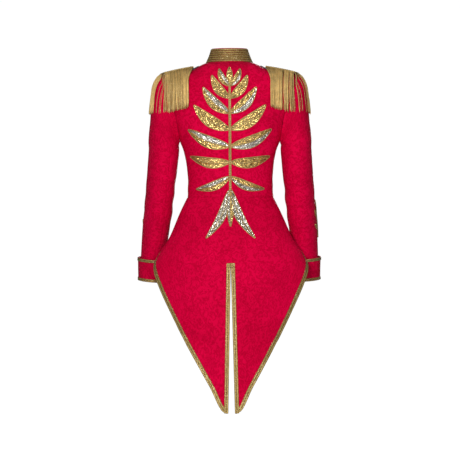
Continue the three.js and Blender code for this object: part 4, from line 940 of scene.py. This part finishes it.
def arm_section(z, side):
    def read(h):
        swing = SWING[side] * (ARM_TOP - np.maximum(h, CUFF_TO)) * smoothstep(ARM_TOP - h, 0, 60)
        inner, outer = column(ARM, "inner", h) + swing, column(ARM, "outer", h) + swing
        front, back = column(ARM, "front", h), column(ARM, "back", h)
        return xyz((inner + outer) / 2, (front + back) / 2, h), (outer - inner) / 2, (back - front) / 2

    centre, wide, deep = read(z)
    low = np.maximum(z - 8, ARM_END)
    down = unit(read(low)[0] - read(low + 16)[0])
    blend = (1 - smoothstep(ARM_TOP - z, 0, 70))[..., None]
    down = lerp(down, np.array([0, 0, -1.0]), blend)
    down[..., 1] *= lerp(1, WRIST_SHARE, smoothstep(-z, WRIST_FROM, WRIST_FULL))
    down = unit(down)
    out = unit(np.array([1.0, 0, 0]) - down * down[..., :1])
    return centre, out, np.cross(out, down), wide, deep, deep


def sleeve_section(t, side):
    share = np.clip(t / CAP_SHARE, 0, 1)
    row = share * 8
    tilt = np.radians(column(CAP, "tilt", row))
    reach_out = column(CAP, "reach", row)
    hinge = xyz(lerp(148.6, 150.5, share), UNDERARM_Y, lerp(UNDERARM_Z, ARM_TOP, share))
    out = xyz(np.cos(tilt), 0, np.sin(tilt))
    head = (hinge + out * (reach_out / 2)[..., None], out, np.broadcast_to([0.0, 1, 0], out.shape),
            reach_out / 2, lerp(ARMHOLE_BACK + 1, 57 - UNDERARM_Y, smoothstep(share, 0, 0.7)),
            lerp(ARMHOLE_FRONT + 1, UNDERARM_Y + 61, smoothstep(share, 0, 0.7)))
    arm = arm_section(lerp(ARM_TOP, ARM_END, np.clip((t - CAP_SHARE) / (1 - CAP_SHARE), 0, 1)), side)
    pick = t < CAP_SHARE
    return [np.where(pick[..., None] if h.ndim > pick.ndim else pick, h, a) for h, a in zip(head, arm)]


def on_section(parts, angle, over=0.0):
    centre, out, rear, wide, back, front = parts
    a = np.radians(angle)
    deep = np.where(np.sin(a) >= 0, back, front)
    return (centre + out * ((wide + over) * np.cos(a))[..., None]
            + rear * ((deep + over) * np.sin(a))[..., None])


def sleeve_face(angle, t, side):
    angle, t = np.broadcast_arrays(np.asarray(angle, float), t)
    p = on_section(sleeve_section(t, side), angle)
    seam = armhole(angle % 360)
    off = seam - on_section(sleeve_section(np.zeros(t.shape), side), angle)
    return p + off * (np.clip(1 - t / CAP_SHARE, 0, 1) ** 3)[..., None]


def sleeve_normal(angle, t, side):
    around = sleeve_face(angle + 2, t, side) - sleeve_face(angle - 2, t, side)
    lower, upper = np.minimum(t + 0.012, 1), np.maximum(t - 0.012, 0)
    down = sleeve_face(angle, lower, side) - sleeve_face(angle, upper, side)
    return unit(np.cross(down, around))


def sleeve_spot(side, angle, z, lift):
    """A point on the lower arm's folded face, in the row frame."""
    p = on_section(arm_section(z, side), angle)
    normal = unit(on_section(arm_section(z, side), angle, 1.0) - p)
    t = CAP_SHARE + (1 - CAP_SHARE) * (ARM_TOP - z) / (ARM_TOP - ARM_END)
    height = sleeve_folds(side, angle, t) + lift
    return on_side(side, p + normal * height[..., None]), on_side(side, normal)


def sleeves():
    t = edged(98, 520, high=False)[::-1, None]
    for side, word in SIDES:
        for part, (start, end, cols, wide) in {"top": (SLEEVE_FRONT, SLEEVE_BACK, 66, 190),
                                               "under": (SLEEVE_BACK, SLEEVE_FRONT + 360, 40, 100)}.items():
            angle = lerp(start + 0.06, end - 0.06, edged(cols, wide))[None, :]
            base = sleeve_face(angle, t, side)
            normal = sleeve_normal(angle, t, side)
            folds = sleeve_folds(side, angle, t)
            roll = seam_roll(base, ("first", "last"), 0.55)
            height = folds + roll
            obj = shell(f"sleeve_{part}_{word}_cloth", on_side(side, base + normal * height[..., None]),
                        on_side(side, base + normal * (folds - CLOTH)[..., None]), f"sleeve_{part}_{word}",
                        shift=(0.6 * side, 2.2 if part == "top" else 3.1))
        angle = np.arange(96) * 3.75
        z = np.concatenate([[CUFF_TO, CUFF_TO + 1], np.linspace(CUFF_TO + 3, CUFF_FROM - 3, 14),
                            [CUFF_FROM - 1, CUFF_FROM]])[:, None]
        over = CUFF_OVER + CUFF_FLARE * (CUFF_FROM - z) / (CUFF_FROM - CUFF_TO)
        base = on_section(arm_section(z, side), angle[None], over)
        normal = outward(ring_normals(base), base - base.mean((0, 1)))
        ease = 0.35 * np.sin(np.radians(angle[None]) * 3 + side) * bell(z, -596, 24)
        obj = shell(f"cuff_{word}_cloth", on_side(side, base + normal * ease[..., None]),
                    on_side(side, base - normal * CLOTH), f"cuff_{word}", ring=True, shift=(0.2, 4.0 * side))
        turn = np.linspace(0, 360, 97)
        for end, start in (("top", CUFF_FROM - 1), ("hem", CUFF_TO + BRAID_WIDTH - 1.6)):
            edges = []
            for down in (0, BRAID_WIDTH - 2):
                zz = np.full(turn.shape, float(start - down))
                over = CUFF_OVER + CUFF_FLARE * (CUFF_FROM - start) / (CUFF_FROM - CUFF_TO)
                p = on_section(arm_section(zz, side), turn, over)
                n = unit(on_section(arm_section(zz, side), turn, 20.0) - p)
                edges.append(on_side(side, p))
            braid(f"cuff_braid_{end}_{word}_plait", edges[0], edges[1], on_side(side, n),
                  f"cuff_braid_{end}_{word}", lift=0.35, loop=True)


# ---------------------------------------------------------------- collar
def collar_face(angle, v):
    angle, v = np.broadcast_arrays(np.asarray(angle, float), v)
    r = np.radians(angle)
    foot = neckline(np.abs(angle))
    out = unit(gradient(foot))
    flip = np.where(angle < 0, -1.0, 1.0)
    foot[..., 0] *= flip
    out[..., 0] *= flip
    left = LAP_LIFT * (1 - smoothstep(foot[..., 0], LAP_WIDTH + 1, LAP_WIDTH + 22))
    ride = np.where(foot[..., 0] > 0, left, lap_lift(foot[..., 0]))
    foot = foot + out * np.where(np.cos(r) < 0, ride * 1.5, 0)[..., None]
    foot[..., 2] += COLLAR_GAP
    depth = np.where(np.cos(r) >= 0, COLLAR_BACK, -COLLAR_FRONT)
    rim = xyz(COLLAR_HALF * np.sin(r), NECK_MID + depth * np.cos(r),
              lerp(COLLAR_FRONT_Z, COLLAR_BACK_Z, smoothstep(np.cos(r), -1, COLLAR_LEVEL)))
    p = lerp(foot, rim, v[..., None])
    away = unit(xyz(p[..., 0], p[..., 1] - NECK_MID, 0))
    return p - away * (1.4 * np.sin(np.pi * np.clip(v, 0, 1)))[..., None]


def collar():
    angle = np.linspace(COLLAR_END, -COLLAR_END, 161)[None]
    v = np.concatenate([[-0.06, 0, 0.02], np.linspace(0.06, 0.94, 12), [0.98, 1.0]])[:, None]
    face = collar_face(angle, v)
    away = unit(xyz(face[..., 0], face[..., 1] - NECK_MID, 0))
    roll = -0.5 * np.exp(-(((1 - v) / 0.025) ** 2))
    shell("collar_cloth", face + away * roll[..., None],
                             face - away * COLLAR_THICK, "collar")
    a = np.linspace(COLLAR_END, -COLLAR_END, 201)
    for row in range(COLLAR_ROWS):
        low, high = (row + 0.03) / COLLAR_ROWS * 0.97, (row + 0.97) / COLLAR_ROWS * 0.97
        down, up = collar_face(a, np.full(a.shape, low)), collar_face(a, np.full(a.shape, high))
        n = outward(unit(np.cross(np.gradient(down, axis=0), up - down)), down - down.mean(0))
        braid(f"collar_braid_{row + 1}_plait", down, up, n, f"collar_braid_{row + 1}",
              pitch=4.4, lift=0.3, ribs=1)


# ---------------------------------------------------------------- epaulettes
BOARD_INNER_Z = float(reach(xyz(BOARD_INNER, 0.0, -140), UP)[2]) + FELT_LIFT + FELT_THICK + 1.0
BOARD_OUTER_Z = float(sleeve_face(np.array(0.0), np.array(0.06), LEFT)[2]) + 2.2


def board_bottom(x):
    s = (x - BOARD_INNER) / (BOARD_OUTER - BOARD_INNER)
    return lerp(BOARD_INNER_Z, BOARD_OUTER_Z, s) + BOARD_BOW * np.sin(np.pi * np.clip(s, 0, 1))


def board_plan(a, b):
    x = BOARD_INNER + (BOARD_OUTER - BOARD_INNER - BOARD_ROUND * b * b) * a
    return x, UNDERARM_Y + b * lerp(BOARD_HALF_IN, BOARD_HALF_OUT, a)


def rim(s):
    corner = 0.335
    ax, ay = board_plan(s / corner, -1.0)
    bx, by = board_plan((1 - s) / corner, 1.0)
    cx, cy = board_plan(1.0, lerp(-1, 1, (s - corner) / (1 - 2 * corner)))
    first, last = s < corner, s > 1 - corner
    return np.where(first, ax, np.where(last, bx, cx)), np.where(first, ay, np.where(last, by, cy))


def rim_out(s):
    x1, y1 = rim(np.maximum(s - 0.03, 0))
    x2, y2 = rim(np.minimum(s + 0.03, 1))
    return unit(xyz(y2 - y1, x1 - x2, 0))


HEAD_ANGLE, HEAD_ROW = np.meshgrid(np.linspace(-130, 130, 53), np.linspace(0, 0.5, 31))
HEAD = sleeve_face(HEAD_ANGLE, HEAD_ROW, LEFT).reshape(-1, 3)
HEAD_OUT = sleeve_normal(HEAD_ANGLE, HEAD_ROW, LEFT).reshape(-1, 3)


def head_clearance(p):
    """How far points stand off the sleeve head or the bodice, whichever is nearer."""
    d = (p * p).sum(-1)[:, None] + (HEAD * HEAD).sum(-1) - 2 * p @ HEAD.T
    best = d.argmin(1)
    off = ((p - HEAD[best]) * HEAD_OUT[best]).sum(-1)
    return np.minimum(np.where(d[np.arange(len(p)), best] > 900, 30.0, off), figure(p))


def strand_falls(s, out_by, clear, foot):
    """The way strands fall from the rim: straight down, and over whatever they would pass through."""
    x, y = rim(s)
    way = rim_out(s)
    at = xyz(x, y, board_bottom(x) + 1.5) + way * out_by[:, None]
    path, step = [at], 7.0
    for turn in range(22):
        q = path[-1] + np.array([0, 0, -step])
        if turn == 0:
            q = q + way * step * 0.4
        for _ in range(10):
            short = clear - head_clearance(q)
            move = np.where(short > 0, np.maximum(short, 0.15), 0)
            q = q + way * move[:, None]
            q = path[-1] + unit(q - path[-1]) * step
        path.append(q)
    path = np.stack(path, 1)
    made = []
    for line, low in zip(path, foot):
        run = np.arange(len(line)) * step
        end = np.interp(-low, -line[:, 2], run)
        at = np.linspace(0, 1, STRAND_RINGS) ** 0.9 * end
        made.append(np.stack([np.interp(at, run, line[:, k]) for k in range(3)], -1))
    return np.stack(made), way


def fringe(side, word):
    s, layer, group = [], [], []
    for number, (start, end, count) in enumerate(STRANDS[side]):
        s.append(lerp(start, end, (np.arange(count) + 0.5) / count))
        layer.append(np.arange(count) % 3)
        group.append(np.full(count, number))
    s, layer, group = np.concatenate(s), np.concatenate(layer), np.concatenate(group)
    count = len(s)
    s = s + rng.normal(0, 0.0012, count)
    outer = smoothstep(rim(s)[0], BOARD_INNER, BOARD_OUTER)
    ragged = rng.normal(0, 2.2, count) - 3.0 * (rng.random(count) < 0.08)
    foot = lerp(FOOT_INNER, FOOT_OUTER, outer) + ragged
    paths, way = strand_falls(s, 0.9 + layer * 0.85, 2.2 + layer * 1.3, foot)
    beside = xyz(-way[:, 1], way[:, 0], 0)
    share = np.linspace(0, 1, STRAND_RINGS)[None, :, None]
    # Strands hang a little wavy and cling together in locks towards their ends.
    lock = np.sin(s * 150 + group * 1.7) * 1.5
    wave = (0.55 * np.sin(share[..., 0] * 7 + rng.random((count, 1)) * 6.3)
            + 0.35 * np.sin(share[..., 0] * 17 + rng.random((count, 1)) * 6.3))
    sway = wave * share[..., 0] ** 0.7 + lock[:, None] * share[..., 0] ** 1.6
    # Those at the neck end of the back edge lean towards the arm.
    lean = 15 * smoothstep(s, 0.86, 0.985)[:, None] * smoothstep(share[..., 0], 0, 0.45)
    sway = sway - lean * np.where(s > 0.665, 1, 0)[:, None]
    lift = 0.5 * np.abs(np.sin(share[..., 0] * 5 + rng.random((count, 1)) * 6.3)) * share[..., 0]
    paths = paths + beside[:, None] * sway[..., None] + way[:, None] * lift[..., None]
    tangent = unit(np.gradient(paths, axis=1))
    out = unit(way[:, None] - tangent * (tangent * way[:, None]).sum(-1, keepdims=True))
    across = np.cross(tangent, out)
    around = 6
    phi = np.arange(around) / around * 2 * np.pi
    run = np.linalg.norm(np.diff(paths, axis=1), axis=-1)
    run = np.concatenate([np.zeros((count, 1)), np.cumsum(run, 1)], 1)
    radius = (rng.uniform(0.62, 0.86, count)[:, None] * np.where(share[..., 0] > 0.97, 0.6, 1))[..., None]
    rings = (paths[:, :, None] + out[:, :, None] * (radius * np.sin(phi))[..., None]
             + across[:, :, None] * (radius * np.cos(phi))[..., None])
    rings = on_side(side, rings)
    # Painted shade: inner layers of strands, hanging behind the outer ones, are darker, and every other line
    # of points round each strand is darker as groove shade; on top of that the tone differs at random from
    # strand to strand.
    shade = np.clip(0.34 + 0.26 * layer + rng.normal(0, 0.22, count), 0.05, 1)[:, None, None]
    shade = shade * np.where(np.arange(around) % 2 == 0, 1.0, 0.86)[None, None]
    shade = np.broadcast_to(shade, rings.shape[:3])
    along = xyz(run[..., None], phi[None, None] * 1.3, 0) * MM
    obj = solid_rings(f"epaulette_fringe_{word}_strands", rings, [FRINGE_LOOK],
                      {"relief": shade.ravel(), "along": np.broadcast_to(along, rings.shape).reshape(-1, 3)})
    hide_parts(f"epaulette_fringe_{word}")


def epaulettes():
    for side, word in SIDES:
        # Felt base, laid over the shoulder.
        x = np.concatenate([[FELT_OUTER, FELT_OUTER - 0.6], np.linspace(FELT_OUTER - 2, FELT_INNER + 2, 30),
                            [FELT_INNER + 0.6, FELT_INNER]])[None]
        y = np.concatenate([[1, 0.985], np.linspace(0.95, -0.95, 30), [-0.985, -1]])[:, None] * FELT_HALF
        base = reach(xyz(x + 0 * y, y + 0 * x, -140), UP)
        normal = unit(gradient(base))
        folds = body_folds(base)[..., None]
        rough = rng.normal(0, 0.03, base.shape[:2])[..., None]
        outer = on_side(side, base + normal * (folds + FELT_LIFT + FELT_THICK + rough))
        inner = on_side(side, base + normal * (folds + FELT_LIFT))
        shell(f"epaulette_felt_{word}_pad", outer, inner, f"epaulette_felt_{word}",
                                       looks=(FELT_LOOK, FELT_LOOK))
        # Board covered with rows of gold braid.
        a = np.linspace(0, 1, 80)[None]
        b = np.concatenate([[-1, -0.985], np.linspace(-0.96, 0.96, 82), [0.985, 1]])[:, None]
        bx, by = board_plan(a, b)
        rows = 9.0
        lane = (b + 1) / 2 * rows
        within = np.abs(lane - np.floor(lane) - 0.5) * 2
        plait = 0.5 + 0.5 * np.cos(2 * np.pi * (bx / 4.6 + 0.7 * within))
        ribs = np.sin(np.pi * np.clip(1 - within, 0, 1) / 2) ** 0.7
        relief = ribs * (0.35 + 0.65 * plait)
        border = np.minimum(np.minimum(a * 97, (1 - a) * 97), (1 - np.abs(b)) * 40)
        rise = BOARD_THICK + BOARD_CROWN * (1 - b**2) - 1.6 * np.exp(-border / 1.2) + 0.7 * (relief - 0.5)
        top = xyz(bx, by, board_bottom(bx) + rise)
        low = xyz(bx, by, board_bottom(bx))
        obj = shell(f"epaulette_board_{word}_cover", on_side(side, top), on_side(side, low),
                    f"epaulette_board_{word}", looks=(BRAID_LOOK, BRAID_LOOK))
        # The rows' relief is stored for the gold material, which paints shade in their grooves and a
        # highlight on their crowns.
        layer = obj.data.attributes.new("relief", "FLOAT", "POINT")
        layer.data.foreach_set("value", np.concatenate([relief.ravel(), relief.ravel()]).astype(np.float32))
        # Thick cord round the board and the gimp heading that the strands hang from.
        s = np.linspace(0.0, 1.0, 240)
        rx, ry = rim(s)
        out = rim_out(s)
        edge = xyz(rx, ry, board_bottom(rx) + BOARD_THICK - 0.9) - out * 0.8
        up = np.broadcast_to([0.0, 0, 1], edge.shape)
        twisted(f"epaulette_cord_{word}", [on_side(side, edge)], [up], 1.5, CORD_LOOK, pitch=7.0,
                around=10, step=1.2)
        head_low = xyz(rx, ry, board_bottom(rx) - 0.6) + out * 1.3
        head_high = xyz(rx, ry, board_bottom(rx) + 3.6) + out * 1.0
        braid(f"epaulette_heading_{word}", on_side(side, head_low), on_side(side, head_high),
              on_side(side, out), thick=1.5, lift=0.4, pitch=4.0)
        fringe(side, word)


# ---------------------------------------------------------------- sequin sprays
def back_spot(x, z, lift):
    """A point on the back's folded face, and the way out of the cloth there."""
    side = np.where(x < 0, -1.0, 1.0)
    body = reach(xyz(x, 0.0, np.maximum(z, WAIST_Z)), (0, 1, 0))
    body_n = unit(gradient(body))
    body_h = body_folds(body)
    low = np.minimum(z, WAIST_Z - 0.01)
    angle = tail_angle(np.abs(x), low)
    tail, tail_n = tail_face(angle, low), tail_normal(angle, low)
    mirror = np.stack([side, np.ones_like(side), np.ones_like(side)], -1)
    tail, tail_n = tail * mirror, tail_n * mirror
    tail_h = np.where(x < 0, tail_folds(RIGHT, np.abs(x), low), tail_folds(LEFT, np.abs(x), low))
    upper = (z >= WAIST_Z)[..., None]
    p, n = np.where(upper, body, tail), np.where(upper, body_n, tail_n)
    h = np.where(upper[..., 0], body_h, tail_h)
    return p + n * (h + lift)[..., None], n


def sleeve_place(side):
    def place(x, z, lift):
        _, _, _, wide, back, _ = arm_section(z, side)
        angle = SLEEVE_STEM_ANGLE[side] + np.degrees(x / ((wide + back) / 2))
        return sleeve_spot(side, angle, z, lift)

    return place


def leaf_lines(leaf, base_x, mirror):
    """Functions of a leaf: its place across and up at (s, across), and its half width."""
    z0, length, width, lean, bend = leaf
    lean = math.radians(lean)
    along = (mirror * math.cos(lean), math.sin(lean))
    beside = (-along[1] * mirror, along[0] * mirror)

    def half(s):
        return 0.8 + (width / 2 - 0.8) * np.sin(np.pi * np.clip(s, 0, 1) ** 0.85) ** 0.8

    def at(s, across):
        sag = bend * np.sin(np.pi * s)
        shift = across - sag
        return (base_x + along[0] * length * s + beside[0] * shift,
                z0 + along[1] * length * s + beside[1] * shift)

    return at, half, length


def spray(name, node, leaves, place, stem, sequin, cord, stem_cord):
    """Padded leaves covered with sequins, outlined in gold cord, on a stem of twisted cords."""
    bases, paths, normals = [], [], []
    discs = {0: [], 1: []}
    for number, (leaf, base_x, mirror) in enumerate(leaves):
        at, half, length = leaf_lines(leaf, base_x, mirror)
        s = np.linspace(0, 1, max(int(length / 3), 8))
        w = np.linspace(-1, 1, 9)[None]
        x, z = at(s[:, None], w * half(s)[:, None])
        rise = lerp(RIDGE_RISE, EDGE_RISE, np.abs(w) ** 1.6) + 0 * s[:, None]
        top, _ = place(x, z, rise)
        low, _ = place(x, z, np.full(x.shape, 0.1))
        bases.append((top, low))
        for edge in (-1, 1):
            x, z = at(s, edge * half(s))
            p, n = place(x, z, np.full(x.shape, 0.5))
            paths.append(p)
            normals.append(n)
        if length > 50:
            sv = np.linspace(0.04, 0.93, len(s))
            x, z = at(sv, 0 * sv)
            p, n = place(x, z, np.full(x.shape, RIDGE_RISE - 0.1))
            paths.append(p)
            normals.append(n)
        # Sequins in staggered rows along the leaf.
        pitch = sequin * 1.52
        rows = int(length / (pitch * 0.87))
        for row in range(rows):
            s_row = (row + 0.7) / rows
            room = float(half(np.array(s_row))) - sequin * 0.55
            if room < 0.2:
                continue
            across = np.arange(-30, 31) * pitch + (row % 2) * pitch / 2
            across = across[np.abs(across) <= room]
            if length > 50:
                across = across[np.abs(across) > 0.9]
            if not len(across):
                continue
            x, z = at(np.full(across.shape, s_row), across)
            lift = lerp(RIDGE_RISE, EDGE_RISE, (np.abs(across) / (room + sequin)) ** 1.6) + 0.35
            p, n = place(x, z, lift)
            x2, z2 = at(np.full(across.shape, min(s_row + 0.02, 1.0)), across)
            p2, _ = place(x2, z2, lift)
            foil = ((across * mirror > 0) & (number % 4 < 2) | (number % 16 > 13)) & (length > 50)
            for kind in (0, 1):
                pick = foil == bool(kind)
                if pick.any():
                    discs[kind].append((p[pick], n[pick], unit(p2 - p)[pick]))
    # Padding under the sequins.
    points, faces, start = [], [], 0
    for top, low in bases:
        rows, cols = top.shape[:2]
        ring = np.concatenate([top, low[:, ::-1]], 1)
        index = np.arange(rows * 2 * cols).reshape(rows, 2 * cols) + start
        quads = wrap(index)
        caps = np.stack([index[0, ::-1], index[-1]])
        if signed_volume(ring.reshape(-1, 3), quads - start) < 0:
            quads, caps = quads[:, ::-1], caps[:, ::-1]
        points.append(ring.reshape(-1, 3))
        faces += [(quads, 0), (caps, 0)]
        start += rows * 2 * cols
    points = np.concatenate(points)
    base = mesh_object(f"{name}_padding", points, faces, [LAME_LOOK],
                       {"relief": np.full(len(points), 0.7), "along": points * MM}, sharp=60)
    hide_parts(node)
    for kind, (word, look) in enumerate((("gold", GOLD_FOIL), ("silver", SILVER_FOIL))):
        if discs[kind]:
            sequins(f"{name}_sequins_{word}", [np.concatenate(c) for c in zip(*discs[kind])], sequin, look)
    twisted(f"{name}_outline", paths, normals, cord, CORD_LOOK, pitch=3.6, around=7, step=1.05)
    top, foot, width = stem
    z = np.linspace(foot, top, int((top - foot) / 3))
    stems, ways = [], []
    for share in (-1, 0, 1):
        belly = np.sin(np.pi * np.clip((z - foot) / (top - foot), 0.02, 0.98)) ** 0.3
        x = share * width * (0.35 + 0.65 * belly)
        p, n = place(x, z, np.full(z.shape, 0.6 + (1.0 if share == 0 else 0.0)))
        stems.append(p)
        ways.append(n)
    twisted(f"{name}_stem", stems, ways, stem_cord, CORD_LOOK, pitch=5.5, around=9, step=1.2)


def sequins(name, discs, radius, look):
    """Cupped foil discs, each tilted a little over the next."""
    p, n, along = discs
    count = len(p)
    beside = unit(np.cross(n, along))
    along = np.cross(beside, n)
    lean = rng.normal(0, 0.13, count)[:, None]
    roll = rng.normal(0, 0.13, count)[:, None]
    up = unit(n + along * (0.20 + lean) + beside * roll)
    u = unit(np.cross(beside, up))
    v = np.cross(up, u)
    around = 8
    phi = np.arange(around) / around * 2 * np.pi
    size = radius * rng.uniform(0.94, 1.04, count)[:, None, None]

    def ring(share, height):
        return (p[:, None] + u[:, None] * (size * share * np.cos(phi)[None, :, None])
                + v[:, None] * (size * share * np.sin(phi)[None, :, None]) + up[:, None] * height)

    points = np.concatenate([ring(0.30, 0.02), ring(0.62, 0.30), ring(1.0, 0.52), ring(1.0, 0.38)], 1)
    index = np.arange(count * 4 * around).reshape(count, 4, around)
    quads = wrap(index, True)
    points = points.reshape(-1, 3)
    if signed_volume(points, quads) < 0:
        quads = quads[:, ::-1]
    tint = np.repeat(np.clip(rng.normal(0.55, 0.28, count), 0, 1), 4 * around)
    obj = mesh_object(name, points, [(quads, 0)], [look], {"relief": tint}, smooth=False)


def sprays():
    leaves = [(leaf, 2.0 * m, m) for leaf in SPRAY for m in (1, -1)] + [(leaf, 0.0, 1) for leaf in FINIALS]
    spray("spray_back", "spray_back", leaves, back_spot, (STEM_TOP, STEM_FOOT, 2.5), 2.25, 1.15, 1.45)
    for side, word in SIDES:
        leaves = [(leaf, 1.2 * m, m) for leaf in SLEEVE_SPRAY for m in (1, -1)] + [(SLEEVE_FINIAL, 0.0, 1)]
        spray(f"spray_sleeve_{word}", f"spray_sleeve_{word}", leaves, sleeve_place(side),
              (SLEEVE_STEM_TOP, SLEEVE_STEM_FOOT, 1.5), 1.6, 0.9, 1.0)


# ---------------------------------------------------------------- buttons
def buttons():
    profile = np.array([[0.02, 0.0], [0.88, 0.0], [0.97, 0.16], [1.0, 0.30], [0.96, 0.42], [0.86, 0.40],
                        [0.80, 0.44], [0.74, 0.62], [0.60, 0.80], [0.42, 0.92], [0.22, 0.98], [0.02, 1.0]])
    phi = np.arange(40) / 40 * 2 * np.pi
    for i in range(BUTTONS):
        z = lerp(BUTTON_FROM, BUTTON_TO, i / (BUTTONS - 1))
        p = reach(xyz(0, 0, z), (0, -1, 0))
        n = unit(gradient(p))
        p = p + n * (LAP_LIFT + float(body_folds(p)) + 0.2)
        side = unit(np.cross(n, [0, 0, 1.0]))
        up = np.cross(side, n)
        rings = (p + n * (profile[:, 1, None, None] * BUTTON_TALL)
                 + side * (profile[:, 0, None, None] * BUTTON_RADIUS * np.cos(phi)[None, :, None])
                 + up * (profile[:, 0, None, None] * BUTTON_RADIUS * np.sin(phi)[None, :, None]))
        obj = solid_rings(f"button_{i + 1}_dome", rings[None], [BRASS_LOOK], {}, sharp=48)
        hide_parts(f"button_{i + 1}")


def declare_sheets():
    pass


for job in (stage_scene, bodice, tails, tail_braids, sleeves, collar, epaulettes, sprays, buttons,
            declare_sheets):
    job()
